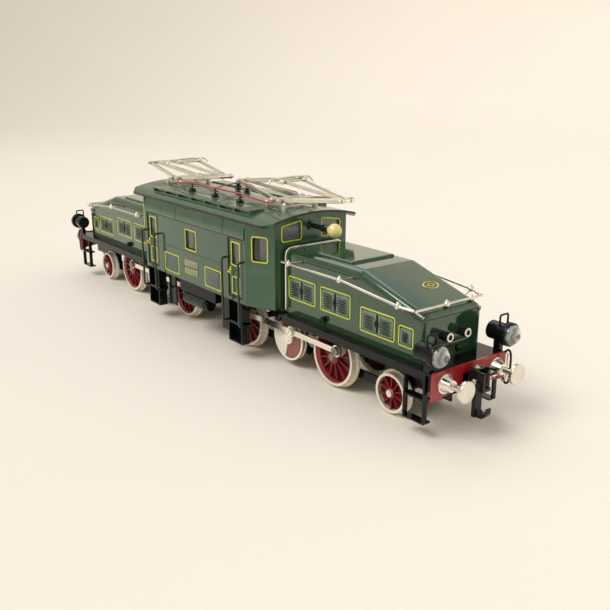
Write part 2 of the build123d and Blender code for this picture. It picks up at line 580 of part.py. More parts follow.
# ---- bogie ----
def bogie_frame(end):
    """Two side plates with axle holes, a top plate with brackets, a king pin and the end block."""
    plate_z0 = 8.0
    pieces = []
    for side in SIDES:
        plate = block(FRAME_X0, FRAME_X1, side * (FRAME_Y - SHEET), side * FRAME_Y, plate_z0, FRAME_TOP)
        for x, z in ((PONY_X, PONY_R), (OUTER_X, AXLE_Z), (JACK_X, AXLE_Z), (INNER_X, AXLE_Z)):
            plate -= along_y(x, -40, 40, z, AXLE_R + RUN)
        for x0, x1 in ((142, 166), (96, 118), (50, 76)):
            window = block(x0, x1, side * 5, side * 20, 13, 26)
            plate -= fillet(window.edges().filter_by(Axis.Y), 4)
        plate -= block(188, FRAME_X1 + 1, side * 5, side * 20, 0, 17)
        pieces.append(plate)
    top = block(FRAME_X0, FRAME_X1, -FRAME_Y, FRAME_Y, FRAME_TOP - SHEET, FRAME_TOP)
    pieces.append(top)
    for x0, x1 in ((102, 108), (150, 158), (192, FRAME_X1)):
        pieces.append(block(x0, x1, -25, 25, FRAME_TOP - SHEET, FRAME_TOP))
    pieces.append(block(FRAME_X1 - 12.6, FRAME_X1, -FRAME_Y, FRAME_Y, 31.2, FRAME_TOP))
    pieces.append(block(FRAME_X1 - 12.6, FRAME_X1, -FRAME_Y, FRAME_Y, 20.6, 23.4))
    pieces.append(along_z(COUPLER_PIVOT_X, 0, 22, 32, 1.5))
    shoe_x = (OUTER_X + JACK_X) / 2
    guide = block(shoe_x - 8, shoe_x + 8, -FRAME_Y + 0.5, FRAME_Y - 0.5, 8.0, 11.0)
    for x in (-5, 5):
        guide -= along_z(shoe_x + x, 0, 0, 20, 1.2 + RUN)
    pieces.append(guide)
    pieces.append(along_z(PIVOT_X, 0, FRAME_TOP - 0.2, FLOOR_BOTTOM - GAP, 8.0))
    pieces.append(along_z(PIVOT_X, 0, FRAME_TOP, FLOOR_BOTTOM + FLOOR_THICK + 1.8, KING_PIN_R))
    frame = joined(pieces)
    if end < 0:
        frame = mirror(frame, Plane.YZ)
    return frame


def hood_solid(grow):
    """The outside of the hood, or its hollow when grow is negative."""
    y, x1 = HOOD_Y + grow, HOOD_X1 + grow
    x0 = HOOD_X0 - grow
    top, nose = HOOD_TOP + grow, HOOD_NOSE_TOP + grow
    bottom = PLATE_TOP + (-5 if grow < 0 else 0)
    outline = [(x0, bottom), (x0, top), (HOOD_BEND_X, top), (x1, nose), (x1, bottom)]
    solid = extrude(Plane.XZ * make_face(Polyline(*outline, close=True)), y, both=True)
    long_edges = [edge for edge in solid.edges()
                  if abs(edge.center().Y) > y - 0.1 and edge.center().Z > nose + 0.5 and edge.length > 20
                  and abs((edge % 0.5).X) > 0.5]
    solid = fillet(long_edges, HOOD_ROUND + grow)
    upright = [edge for edge in solid.edges()
               if abs(edge.center().X - x1) < 0.1 and abs((edge % 0.5).Z) > 0.99 and edge.length > 5]
    return fillet(upright, 2.6 + grow)


def hood_panels(shell):
    """The hood's sheet as panels that meet along the folds: two sides, the top, the slope and the nose."""
    fold_y, fold_z = HOOD_Y - HOOD_ROUND - GAP, HOOD_NOSE_TOP - SHEET - GAP
    panels = [shell & block(0, 250, side * fold_y, side * 40, 0, 120) for side in SIDES]
    top = block(0, HOOD_BEND_X, -fold_y, fold_y, 0, 120)
    slope = block(HOOD_BEND_X, 250, -fold_y, fold_y, fold_z, 120)
    nose = block(HOOD_BEND_X, 250, -fold_y, fold_y, 0, fold_z)
    panels += [shell & part for part in (top, slope, nose)]
    return panels


def hood(end):
    """The hood with a raised hatch, open underneath, and the sockets and shelf on its nose."""
    shell = hood_solid(0) - hood_solid(-SHEET)
    hatch = block(98, 141, -16, 16, HOOD_TOP - 0.5, HOOD_TOP + 1.3)
    hatch = chamfer(hatch.faces().sort_by(Axis.Z)[-1].edges(), 0.6)
    lip_low = HOOD_NOSE_TOP - 3.4
    lip = hood_solid(0.7) & block(HOOD_X1 - 7, HOOD_X1 + 2, -30, 30, lip_low, HOOD_NOSE_TOP - 2.2)
    shell = joined([shell, hatch - hood_solid(-SHEET), lip - hood_solid(-SHEET)])
    panels = [mirrored(panel, end) for panel in hood_panels(shell)]
    sockets = []
    for y in (-8.6, 4.6):
        tube = along_x(HOOD_X1 + 0.02, HOOD_X1 + 5.6, y, 48.4, 2.5)
        tube -= along_x(HOOD_X1 + 1.5, HOOD_X1 + 6, y, 48.4, 1.6)
        sockets.append(mirrored(tube, end))
    shelf = block(HOOD_X1 + 0.02, HOOD_X1 + 2.4, -12, 8.5, 43.4, 44.2)
    sockets.append(mirrored(shelf, end))
    return panels + sockets


def footplate(end):
    """The running board round the hood, with turned-down edges, curled ends, lamp posts and ladders."""
    z0 = PLATE_TOP - PLATE_THICK
    plate = block(PLATE_X0, BEAM_X0 - 0.02, -PLATE_Y, PLATE_Y, z0, PLATE_TOP)
    plate -= block(PLATE_X0 - 1, 196, -20.6, 20.6, z0 - 1, PLATE_TOP + 1)
    pieces = [plate]
    for side in SIDES:
        pieces.append(block(PLATE_X0, 210, side * (PLATE_Y - 1), side * PLATE_Y, 30.6, PLATE_TOP))
        curl_z = PLATE_TOP - CURL_R
        curl = along_y(PLATE_X0, side * 20.6, side * PLATE_Y, curl_z, CURL_R)
        curl -= along_y(PLATE_X0, 0, side * 40, curl_z, CURL_R - PLATE_THICK)
        curl = curl & block(PLATE_X0 - 10, PLATE_X0, -40, 40, curl_z, PLATE_TOP)
        pieces.append(curl)
        ladder_y0, ladder_y1 = side * 25.2, side * PLATE_Y
        for x in (195.5, 209.0):
            pieces.append(block(x, x + 1.2, ladder_y0, ladder_y1, 7.0, PLATE_TOP - 0.2))
        for z in (7.0, 19.5):
            pieces.append(block(195.5, 210.2, side * 22.6, ladder_y1, z, z + 0.9))
        post_y0, post_y1 = side * (LAMP_Y - 2), side * (LAMP_Y + 0.6)
        pieces.append(block(208.4, 212.6, post_y0, post_y1, PLATE_TOP - 0.3, LAMP_Z))
    board = joined(pieces)
    for side in SIDES:
        board -= along_x(LAMP_X0 - 5, LAMP_X1 + 5, side * LAMP_Y, LAMP_Z, LAMP_DRUM_R + 0.02)
    return mirrored(board, end)


def buffer_beam(end):
    """The red beam with a window for the coupler and two flared buffer sockets."""
    x0, x1 = BEAM_X0, BEAM_X0 + BEAM_THICK
    half = PLATE_Y - 0.4
    outline = [(-half, BEAM_Z1), (half, BEAM_Z1), (half, BEAM_Z0), (12.5, BEAM_Z0 + 2.2)]
    outline += [(-12.5, BEAM_Z0 + 2.2), (-half, BEAM_Z0)]
    beam = Pos(x0, 0, 0) * extrude(Plane.YZ * make_face(Polyline(*outline, close=True)), BEAM_THICK)
    beam -= block(x0 - 1, x1 + 1, -5.6, 5.6, 24.0, 30.8)
    sockets = []
    for side in SIDES:
        beam -= along_x(x0 - 1, x1 + 1, side * BUFFER_Y, BUFFER_Z, BUFFER_STEM_R + 0.6)
        flare = Pos(x1 + 2.7, side * BUFFER_Y, BUFFER_Z) * Rot(0, 90, 0) * Cone(4.6, 3.0, 5.4)
        collar = along_x(x1, x1 + 0.9, side * BUFFER_Y, BUFFER_Z, 5.2)
        socket = joined([flare, collar]) - along_x(x0, x1 + 9, side * BUFFER_Y, BUFFER_Z, BUFFER_STEM_R + RUN)
        sockets.append(mirrored(socket, end))
    return [mirrored(beam, end)] + sockets


def buffer(end, side):
    """A sprung buffer: stem, round head and the stop ring behind the beam."""
    tip = LENGTH_OVER_BUFFERS / 2
    stem = along_x(BEAM_X0 - 6, tip - 1.2, side * BUFFER_Y, BUFFER_Z, BUFFER_STEM_R)
    head = along_x(tip - 1.8, tip, side * BUFFER_Y, BUFFER_Z, 5.6)
    head = fillet(head.edges().filter_by(GeomType.CIRCLE).sort_by(Axis.X)[-1], 0.5)
    return mirrored(joined([stem, head]), end)


def headlamps(end):
    """Two drum lamps, each with a carrying handle and a front rim."""
    lamps = []
    for side in SIDES:
        y = side * LAMP_Y
        drum = along_x(LAMP_X0, LAMP_X1, y, LAMP_Z, LAMP_DRUM_R)
        drum = fillet(drum.edges().filter_by(GeomType.CIRCLE).sort_by(Axis.X)[0], 1.0)
        rim = along_x(LAMP_X1 - 2.6, LAMP_X1, y, LAMP_Z, LAMP_R)
        rim = fillet(rim.edges().filter_by(GeomType.CIRCLE), 0.4)
        drum = drum + rim - along_x(LAMP_X0 + 2, LAMP_X1 + 1, y, LAMP_Z, LAMP_DRUM_R - 0.9)
        drum = drum - along_x(LAMP_X1 - 1.2, LAMP_X1 + 1, y, LAMP_Z, LAMP_R - 0.7)
        foot, top, x = LAMP_Z + LAMP_DRUM_R - 1.2, LAMP_Z + LAMP_R + 3.4, 212.5
        y0, y1 = y - 3.1, y + 3.1
        grip = bent_rod([(x, y0, foot), (x, y0, top), (x, y1, top), (x, y1, foot)], 1.0, 0.55)
        grip -= along_x(LAMP_X0, LAMP_X1, y, LAMP_Z, LAMP_DRUM_R - 0.5)
        lamps.append(mirrored(joined([drum, grip]), end))
    return lamps


def lamp_lenses(end):
    """A domed clear lens seated in each lamp's rim."""
    lenses = []
    radius, back, peak = LAMP_R - 0.75, LAMP_X1 - 1.15, LAMP_X1 + LAMP_DOME
    half_angle = radians(40)
    shoulder = (LAMP_X1 + (peak - LAMP_X1) * cos(half_angle), radius * sin(half_angle))
    for side in SIDES:
        section = make_face(Polyline((LAMP_X1, radius), (back, radius), (back, 0), (peak, 0))
                            + ThreePointArc((peak, 0), shoulder, (LAMP_X1, radius)))
        dome = revolve(Plane.XY * section, Axis.X)
        lenses.append(mirrored(Pos(0, side * LAMP_Y, LAMP_Z) * dome, end))
    return lenses


def hood_handrail(end):
    """A rail on ball posts along both sides of the hood, and one across its nose."""
    pieces = []
    nose_x, front_x = 190.0, HOOD_X1 - 3.0
    slope_z = RAIL_NOSE_Z + 0.8
    for side in SIDES:
        y = side * RAIL_Y
        pieces.append(bent_rod([(91.5, y, RAIL_Z), (146.0, y, RAIL_Z), (nose_x, y, slope_z),
                                (front_x - 1.0, side * 24.6, RAIL_NOSE_Z)], 2.5, 0.75))
        for x, z, drop in ((98.0, RAIL_Z, 0.5), (144.0, RAIL_Z, 0.5), (nose_x - 1.0, slope_z + 0.1, 4.6)):
            post = rod_between((x, side * (HOOD_Y - 1), z - drop), (x, y, z), 0.7) - hood_solid(0)
            pieces.append(post + ball(x, y, z, 1.45))
    pieces.append(along_y(front_x, -24.6, 24.6, RAIL_NOSE_Z, 0.75))
    for y in (-2.5, 16.0):
        post = rod_between((front_x - 2.0, y, HOOD_NOSE_TOP - 2), (front_x, y, RAIL_NOSE_Z), 0.7)
        pieces.append(post - hood_solid(0) + ball(front_x, y, RAIL_NOSE_Z, 1.5))
    return mirrored(joined(pieces), end)


def coupler(end):
    """A claw coupler on a flat shank that turns on the frame's upright pin, with a hanging hook."""
    shank = block(COUPLER_PIVOT_X - 3.2, 219, -2.2, 2.2, 25.2, 28.6)
    shank = shank + along_z(COUPLER_PIVOT_X, 0, 25.2, 28.6, 3.4)
    claw = block(217.5, 227.5, -5.0, 5.0, 24.2, 33.4)
    claw -= block(220.5, 229, -3.0, 3.0, 26.0, 40.0)
    claw -= block(223.5, 229, 1.0, 9.0, 22.0, 40.0)
    drop = block(219.0, 221.4, -2.4, 2.4, 8.2, 25.0)
    hook = Pos(223.2, 0, 13.4) * Rot(90, 0, 0) * Cylinder(5.0, 3.2)
    hook -= Pos(224.2, 0, 14.2) * Rot(90, 0, 0) * Cylinder(3.0, 6)
    hook = hook & block(219, 229, -5, 5, 7, 14.6)
    body = joined([shank, claw, drop, hook]) - along_z(COUPLER_PIVOT_X, 0, 20, 40, 1.5 + RUN)
    return mirrored(body, end)


def motor():
    """The motor on the front bogie's frame: a field block, its armature housing and brush caps."""
    field = block(104, 140, -13, 13, FRAME_TOP + 0.02, 60)
    field = fillet(field.edges().filter_by(Axis.X), 3)
    housing = along_y(122, -15.5, 15.5, 48, 9.5)
    brushes = [along_y(x, -17.5, 17.5, 48, 2.0) for x in (115, 129)]
    return [joined([field, housing] + brushes)]


def pickup_shoe():
    """The sprung shoe that touches the middle rail."""
    x = (OUTER_X + JACK_X) / 2
    bar = block(x - 22, x + 22, -3, 3, -0.2, 1.2)
    ends = [edge for edge in bar.edges().filter_by(Axis.Y) if edge.center().Z < 0]
    bar = fillet(ends, 1.2)
    posts = [along_z(x + dx, 0, 1.0, 12.2, 1.2) for dx in (-5, 5)]
    return joined([bar] + posts)


# ---- write everything ----
show_part("cab_sides", [side_wall(side) for side in SIDES])
show_part("cab_ends", [end_wall(end) for end in ENDS])
show_part("cab_roof", [roof()])
show_part("cab_floor", [cab_floor()])
show_part("roof_walkways", [walkway(side) for side in SIDES])
show_part("roof_insulators", insulators())
show_part("busbars", busbars())
show_part("cab_handrails", door_handrails())
show_part("cab_steps", door_steps())
show_part("underframe_equipment", underframe_equipment())
show_part("cab_lamps", cab_lamp(1) + cab_lamp(-1))
show_part("pantograph_bases", [panto_base(end) for end in ENDS])

for end in ENDS:
    place = END_NAMES[end]
    for side in SIDES:
        hand = SIDE_NAMES[side]
        show_part(f"{place}_{hand}_door", door(end, side))
        show_part(f"{place}_{hand}_side_rod", [side_rod(end, side)])
        show_part(f"{place}_{hand}_buffer", [buffer(end, side)])
    show_part(f"{place}_lower_arm_out", [lower_arm(end, end)])
    show_part(f"{place}_lower_arm_in", [lower_arm(end, -end)])
    show_part(f"{place}_upper_arm_out", [upper_arm(end, end)])
    show_part(f"{place}_upper_arm_in", [upper_arm(end, -end)])
    show_part(f"{place}_collector_bow", [collector_bow(end)])
    show_part(f"{place}_bogie_frame", [bogie_frame(end)])
    show_part(f"{place}_hood", hood(end))
    show_part(f"{place}_footplate", [footplate(end)])
    show_part(f"{place}_buffer_beam", buffer_beam(end))
    show_part(f"{place}_headlamps", headlamps(end))
    show_part(f"{place}_lamp_lenses", lamp_lenses(end))
    show_part(f"{place}_hood_handrail", [hood_handrail(end)])
    show_part(f"{place}_coupler", [coupler(end)])
    for name, wheel_x in (("outer_drivers", at_end(OUTER_X, end)), ("inner_drivers", at_end(INNER_X, end))):
        wheelset(f"{place}_{name}", wheel_x, AXLE_Z,
                 lambda side, angle, x=wheel_x: spoked_wheel(x, AXLE_Z, DRIVER_R, 12, side, angle), True)
    wheelset(f"{place}_jackshaft", at_end(JACK_X, end), AXLE_Z,
             lambda side, angle, x=at_end(JACK_X, end): disc_wheel(x, side, angle), True)
    wheelset(f"{place}_pony_wheels", at_end(PONY_X, end), PONY_R,
             lambda side, angle, x=at_end(PONY_X, end): spoked_wheel(x, PONY_R, PONY_R, 10, side), False)
show_part("motor", motor())
show_part("pickup_shoe", [pickup_shoe()])
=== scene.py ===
import math

import bmesh
import bpy
from mathutils import Matrix, Vector


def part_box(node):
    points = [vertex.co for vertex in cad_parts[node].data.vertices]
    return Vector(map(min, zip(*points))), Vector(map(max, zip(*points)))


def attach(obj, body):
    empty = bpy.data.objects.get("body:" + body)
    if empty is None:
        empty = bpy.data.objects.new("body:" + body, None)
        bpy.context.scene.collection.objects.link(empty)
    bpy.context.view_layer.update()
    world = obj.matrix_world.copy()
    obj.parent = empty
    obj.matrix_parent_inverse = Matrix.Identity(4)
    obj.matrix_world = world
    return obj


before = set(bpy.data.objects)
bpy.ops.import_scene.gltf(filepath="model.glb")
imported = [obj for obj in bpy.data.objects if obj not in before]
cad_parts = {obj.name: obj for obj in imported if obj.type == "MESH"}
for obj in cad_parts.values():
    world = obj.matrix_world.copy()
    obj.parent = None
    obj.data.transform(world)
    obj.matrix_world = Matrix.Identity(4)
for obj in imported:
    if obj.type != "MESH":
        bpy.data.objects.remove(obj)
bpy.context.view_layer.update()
MM = 0.001
ENDS = (("front", 1), ("rear", -1))
SIDES = (("left", -1), ("right", 1))

# ---- mesh building: every piece is gathered in a Shape, in row-frame metres ----
SHARP_ANGLE = math.radians(40)      # edges that fold more than this stay sharp
MERGE = 1e-7                        # points nearer than this are one point
NEARLY_UPRIGHT = 0.95
SHARPEST = 0.3                      # keeps a sharp corner from running far out when its outline moves


def round_steps(count):
    """Angles of equal steps once round."""
    return [2 * math.pi * k / count for k in range(count)]


class Surface:
    """A flat or leaning surface: (a, b, h) means along u, along v and out along the normal."""

    def __init__(self, origin, u, v):
        self.origin, self.u, self.v = Vector(origin), Vector(u).normalized(), Vector(v).normalized()
        self.n = self.u.cross(self.v).normalized()

    def at(self, a, b, h=0.0):
        return self.origin + self.u * a + self.v * b + self.n * h


class Shape:
    """Gathers meshes that become one piece."""

    def __init__(self):
        self.verts, self.faces = [], []

    def add(self, verts, faces):
        base = len(self.verts)
        self.verts += [tuple(v) for v in verts]
        self.faces += [tuple(base + i for i in face) for face in faces]

    def rings(self, rings, join_ends=False):
        """Skins a row of rings with as many points each, and caps its two ends or joins them."""
        count, rows = len(rings[0]), len(rings)
        faces = []
        for r in range(rows if join_ends else rows - 1):
            following = (r + 1) % rows
            for i in range(count):
                j = (i + 1) % count
                faces.append((r * count + i, r * count + j, following * count + j, following * count + i))
        if not join_ends:
            faces.append(tuple(reversed(range(count))))
            faces.append(tuple((rows - 1) * count + i for i in range(count)))
        self.add([p for ring in rings for p in ring], faces)

    def slab(self, surface, outline, low, high, chamfer):
        """A plate with an eased upper edge; outline is a list of (a, b)."""
        inner = shrink(outline, chamfer)
        rings = [[surface.at(a, b, low) for a, b in outline],
                 [surface.at(a, b, high - chamfer * 0.6) for a, b in outline],
                 [surface.at(a, b, high - chamfer * 0.15) for a, b in shrink(outline, chamfer * 0.45)],
                 [surface.at(a, b, high) for a, b in inner]]
        self.rings(rings)

    def band(self, surface, outline, width, low, high):
        """A raised rounded line along a closed outline, its width inwards."""
        half = width / 2
        rings = []
        for inset, lift in ((0.0, low), (0.0, 0.6 * high), (0.28 * width, high), (half, high * 1.04),
                            (0.72 * width, high), (width, 0.6 * high), (width, low)):
            rings.append([surface.at(a, b, lift) for a, b in shrink(outline, inset)])
        self.rings(rings, join_ends=True)

    def tube(self, points, radius, sides=12):
        """A round bar along points."""
        points = [Vector(p) for p in points]
        rings, side = [], None
        up, forward = Vector((0, 0, 1)), Vector((1, 0, 0))
        for i, p in enumerate(points):
            along = (points[min(i + 1, len(points) - 1)] - points[max(i - 1, 0)]).normalized()
            if side is None:
                side = along.cross(up if abs(along.dot(up)) < NEARLY_UPRIGHT else forward)
            side = (side - along * side.dot(along)).normalized()
            other = along.cross(side)
            rings.append([p + side * (radius * math.cos(t)) + other * (radius * math.sin(t))
                          for t in round_steps(sides)])
        self.rings(rings)

    def turned(self, origin, axis, profile, sides=24):
        """A turned body: profile is a list of (distance along the axis, radius)."""
        origin, axis = Vector(origin), Vector(axis).normalized()
        side = axis.orthogonal().normalized()
        other = axis.cross(side)
        rings = [[origin + axis * s + (side * math.cos(t) + other * math.sin(t)) * max(r, 1e-6)
                  for t in round_steps(sides)] for s, r in profile]
        self.rings(rings)

    def bolt(self, surface, a, b, radius, height):
        """A domed bolt head."""
        steps = [(0, radius), (height * 0.45, radius * 0.95), (height * 0.8, radius * 0.7),
                 (height, radius * 0.3)]
        self.turned(surface.at(a, b), surface.n, steps, 12)

    def louvre(self, surface, a0, a1, b, depth, height):
        """A pressed louvre: a rounded hood that is open along its lower edge and dies away at both ends."""
        rings, steps = [], 10
        for i in range(steps + 1):
            s = i / steps
            swell = math.sin(math.pi * min(max(s, 0.001), 0.999)) ** 0.4
            a = a0 + (a1 - a0) * s
            ring = []
            for t in (0.0, 0.3, 0.6, 0.85, 1.0):
                ring.append(surface.at(a, b + height * (1 - t), depth * swell * math.sin(t * math.pi / 2)))
            ring.append(surface.at(a, b + 0.06 * height, depth * swell * 0.55))
            ring.append(surface.at(a, b + 0.10 * height, 0))
            rings.append(ring)
        self.rings(rings)

    def piece(self, name, paint, body, slot):
        """Makes the gathered meshes one object that rides on a body."""
        mesh = bpy.data.meshes.new(name)
        mesh.from_pydata(self.verts, [], self.faces)
        work = bmesh.new()
        work.from_mesh(mesh)
        bmesh.ops.remove_doubles(work, verts=work.verts, dist=MERGE)
        bmesh.ops.dissolve_degenerate(work, edges=work.edges, dist=MERGE)
        bmesh.ops.recalc_face_normals(work, faces=work.faces)
        for face in work.faces:
            face.smooth = True
        for edge in work.edges:
            if len(edge.link_faces) == 2 and edge.calc_face_angle(0) > SHARP_ANGLE:
                edge.smooth = False
        work.to_mesh(mesh)
        work.free()
        obj = bpy.data.objects.new(name, mesh)
        bpy.context.scene.collection.objects.link(obj)
        obj.data.materials.append(paint.material)
        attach(obj, body)


def shrink(outline, inset):
    """The outline moved inwards; it runs anticlockwise."""
    count, moved = len(outline), []
    if not inset:
        return list(outline)
    area = sum(outline[i][0] * outline[(i + 1) % count][1] - outline[(i + 1) % count][0] * outline[i][1]
               for i in range(count))
    sign = 1 if area > 0 else -1
    for i, (a, b) in enumerate(outline):
        (a0, b0), (a1, b1) = outline[i - 1], outline[(i + 1) % count]
        e0, e1 = Vector((a - a0, b - b0)), Vector((a1 - a, b1 - b))
        n0 = Vector((-e0.y, e0.x)).normalized() if e0.length else Vector((0, 0))
        n1 = Vector((-e1.y, e1.x)).normalized() if e1.length else Vector((0, 0))
        n = n0 + n1
        n = n / max(n.length_squared / 2, SHARPEST) if n.length else n
        moved.append((a + sign * n.x * inset, b + sign * n.y * inset))
    return moved


def rounded(a0, b0, a1, b1, radius, steps=5):
    """A rectangle with rounded corners, anticlockwise."""
    a0, a1, b0, b1 = min(a0, a1), max(a0, a1), min(b0, b1), max(b0, b1)
    points = []
    for ca, cb, start in ((a1 - radius, b0 + radius, -90), (a1 - radius, b1 - radius, 0),
                          (a0 + radius, b1 - radius, 90), (a0 + radius, b0 + radius, 180)):
        for k in range(steps + 1):
            t = math.radians(start + 90 * k / steps)
            points.append((ca + radius * math.cos(t), cb + radius * math.sin(t)))
    return points


def widened(box, by, radius, steps=5):
    """A rounded rectangle that is larger all round than the box (a0, b0, a1, b1)."""
    a0, b0, a1, b1 = box
    return rounded(a0 - by, b0 - by, a1 + by, b1 + by, radius, steps)


def rounded_polygon(corners, radius, steps=5):
    """Any convex outline, anticlockwise, with rounded corners."""
    points, count = [], len(corners)
    for i, corner in enumerate(corners):
        p, before, after = Vector(corner), Vector(corners[i - 1]), Vector(corners[(i + 1) % count])
        d0, d1 = (before - p).normalized(), (after - p).normalized()
        cut = min(radius / math.tan(d0.angle(d1) / 2), 0.45 * (before - p).length, 0.45 * (after - p).length)
        start, finish = p + d0 * cut, p + d1 * cut
        for k in range(steps + 1):
            t = k / steps
            q = start * (1 - t) ** 2 + p * (2 * t * (1 - t)) + finish * t ** 2
            points.append((q.x, q.y))
    return points


# ---- materials ----


class Paint:
    """A node material with short helpers; all coordinates are the row frame's metres."""

    def __init__(self, name):
        self.material = bpy.data.materials.new(name)
        self.material.use_nodes = True
        self.tree = self.material.node_tree
        self.shader = self.tree.nodes["Principled BSDF"]
        self.place = self.tree.nodes.new("ShaderNodeTexCoord").outputs["Object"]
        self.split = None

    def set(self, **values):
        """Values that are the same all over, on the shader's own sockets."""
        for key, value in values.items():
            self.shader.inputs[key.replace("_", " ")].default_value = value

    def link(self, source, target):
        self.tree.links.new(source, target)

    def to(self, source, socket):
        self.link(source, self.shader.inputs[socket])

    def axis(self, name):
        if self.split is None:
            self.split = self.tree.nodes.new("ShaderNodeSeparateXYZ")
            self.link(self.place, self.split.inputs[0])
        return self.split.outputs[name]

    def math(self, kind, first, second=None):
        node = self.tree.nodes.new("ShaderNodeMath")
        node.operation = kind
        for value, socket in ((first, node.inputs[0]), (second, node.inputs[1])):
            if value is None:
                continue
            if isinstance(value, (int, float)):
                socket.default_value = value
            else:
                self.link(value, socket)
        return node.outputs[0]

    def above(self, value, limit, soft=0.00012):
        """0 below the limit and 1 above it, with a narrow soft edge."""
        node = self.tree.nodes.new("ShaderNodeMapRange")
        node.inputs["From Min"].default_value = limit - soft
        node.inputs["From Max"].default_value = limit + soft
        self.link(value, node.inputs["Value"])
        return node.outputs["Result"]

    def below(self, value, limit, soft=0.00012):
        """1 below the limit and 0 above it."""
        return self.math("SUBTRACT", 1.0, self.above(value, limit, soft))

    def both(self, first, second):
        return self.math("MULTIPLY", first, second)

    def reach(self, name):
        """Distance from the frame's middle plane along an axis."""
        return self.math("ABSOLUTE", self.axis(name))

    def noise(self, scale, detail=4.0, roughness=0.6, stretch=None):
        node = self.tree.nodes.new("ShaderNodeTexNoise")
        node.inputs["Scale"].default_value = scale
        node.inputs["Detail"].default_value = detail
        node.inputs["Roughness"].default_value = roughness
        source = self.place
        if stretch:
            mapping = self.tree.nodes.new("ShaderNodeMapping")
            mapping.inputs["Scale"].default_value = stretch
            self.link(source, mapping.inputs["Vector"])
            source = mapping.outputs["Vector"]
        self.link(source, node.inputs["Vector"])
        return node.outputs["Fac"]

    def ramp(self, source, *stops):
        node = self.tree.nodes.new("ShaderNodeValToRGB")
        elements = node.color_ramp.elements
        while len(elements) < len(stops):
            elements.new(0.5)
        for element, (where, colour) in zip(elements, stops):
            element.position = where
            element.color = (*colour, 1)
        self.link(source, node.inputs["Fac"])
        return node.outputs["Color"]

    def levels(self, source, low, high, out_low, out_high):
        node = self.tree.nodes.new("ShaderNodeMapRange")
        node.inputs["From Min"].default_value, node.inputs["From Max"].default_value = low, high
        node.inputs["To Min"].default_value, node.inputs["To Max"].default_value = out_low, out_high
        self.link(source, node.inputs["Value"])
        return node.outputs["Result"]

    def mix(self, share, first, second):
        node = self.tree.nodes.new("ShaderNodeMix")
        node.data_type = "RGBA"
        self.link(share, node.inputs["Factor"])
        for value, socket in ((first, node.inputs[6]), (second, node.inputs[7])):
            if isinstance(value, tuple):
                socket.default_value = (*value, 1)
            else:
                self.link(value, socket)
        return node.outputs[2]

    def blend_value(self, share, first, second):
        node = self.tree.nodes.new("ShaderNodeMix")
        node.data_type = "FLOAT"
        self.link(share, node.inputs["Factor"])
        for value, socket in ((first, node.inputs[2]), (second, node.inputs[3])):
            if isinstance(value, (int, float)):
                socket.default_value = value
            else:
                self.link(value, socket)
        return node.outputs[0]

    def bump(self, height, strength, distance=0.0001):
        node = self.tree.nodes.new("ShaderNodeBump")
        node.inputs["Strength"].default_value = strength
        node.inputs["Distance"].default_value = distance
        self.link(height, node.inputs["Height"])
        self.to(node.outputs["Normal"], "Normal")

    def edge_highlight(self, width_low=0.53, width_high=0.60):
        """1 on outside edges, from the mesh's own curvature, where a painted highlight goes."""
        node = self.tree.nodes.new("ShaderNodeNewGeometry")
        return self.levels(node.outputs["Pointiness"], width_low, width_high, 0.0, 1.0)


def tint(colour, factor):
    return tuple(min(1.0, c * factor) for c in colour)


GREEN = (0.026, 0.068, 0.036)
GREEN_LIGHT = (0.036, 0.082, 0.046)
# the hoods' green is the cab's green darkened to about 0.7 times: painted shade
HOOD_GREEN_SHADED = (0.018, 0.050, 0.024)
RAIL_GREEN = (0.010, 0.026, 0.016)
BLACK = (0.004, 0.006, 0.0055)
RED = (0.27, 0.010, 0.014)
SPOKE_RED = (0.20, 0.012, 0.018)
# near black red on the wheel webs: painted shade between the spokes
WEB_SHADE_RED = (0.030, 0.0012, 0.0022)
LIME = (0.60, 0.68, 0.035)
NICKEL = (0.80, 0.77, 0.67)
PIN_GREY = (0.24, 0.25, 0.21)
IVORY = (0.80, 0.76, 0.64)
GOLD = (0.80, 0.70, 0.13)
GREY_GREEN = (0.13, 0.165, 0.14)
SLAT_GREEN = (0.014, 0.040, 0.022)
TANK_GREEN = (0.022, 0.038, 0.028)
PLATE_TAN = (0.20, 0.19, 0.12)
BUSBAR_RED = (0.42, 0.045, 0.05)
STEEL = (0.32, 0.32, 0.33)
BRASS = (0.70, 0.50, 0.20)
GLAZE = (0.008, 0.016, 0.011)
PAINTED_SHADE_DARK = (0.012, 0.014, 0.012)
SILVER = (0.92, 0.93, 0.94)
BULB_YELLOW = (0.80, 0.68, 0.26)
SEAM_DARK = (0.002, 0.003, 0.002)
COOL_GLOSS = (0.89, 1.0, 0.93, 1.0)     # tint of the reflections in the green enamel


def enamel_colour(paint, colour, lift=1.35):
    """Stoved enamel: a faint clouding, tiny specks of dust and a paler line on outside edges, a painted
    highlight.
    """
    cloud = paint.ramp(paint.noise(38, 3), (0.30, tint(colour, 0.86)), (0.72, tint(colour, 1.14)))
    speck = paint.levels(paint.noise(2600, 2, 0.7), 0.66, 0.76, 0.0, 0.35)
    dusted = paint.mix(speck, cloud, tint(colour, 2.0))
    return paint.mix(paint.edge_highlight(0.54, 0.66), dusted, tint(colour, lift))


def enamel(name, colour, gloss=0.16, coat=0.6, specular=0.5):
    """One colour of stoved enamel under a clear coat; gloss is its mean roughness."""
    paint = Paint(name)
    paint.set(Specular_IOR_Level=specular)
    paint.to(enamel_colour(paint, colour), "Base Color")
    paint.to(paint.levels(paint.noise(120, 4), 0.3, 0.7, gloss * 0.8, gloss * 1.5), "Roughness")
    paint.set(Coat_Weight=coat, Coat_Roughness=0.04, IOR=1.5)
    paint.bump(paint.noise(520, 3, 0.5), 0.05, 0.00006)
    return paint


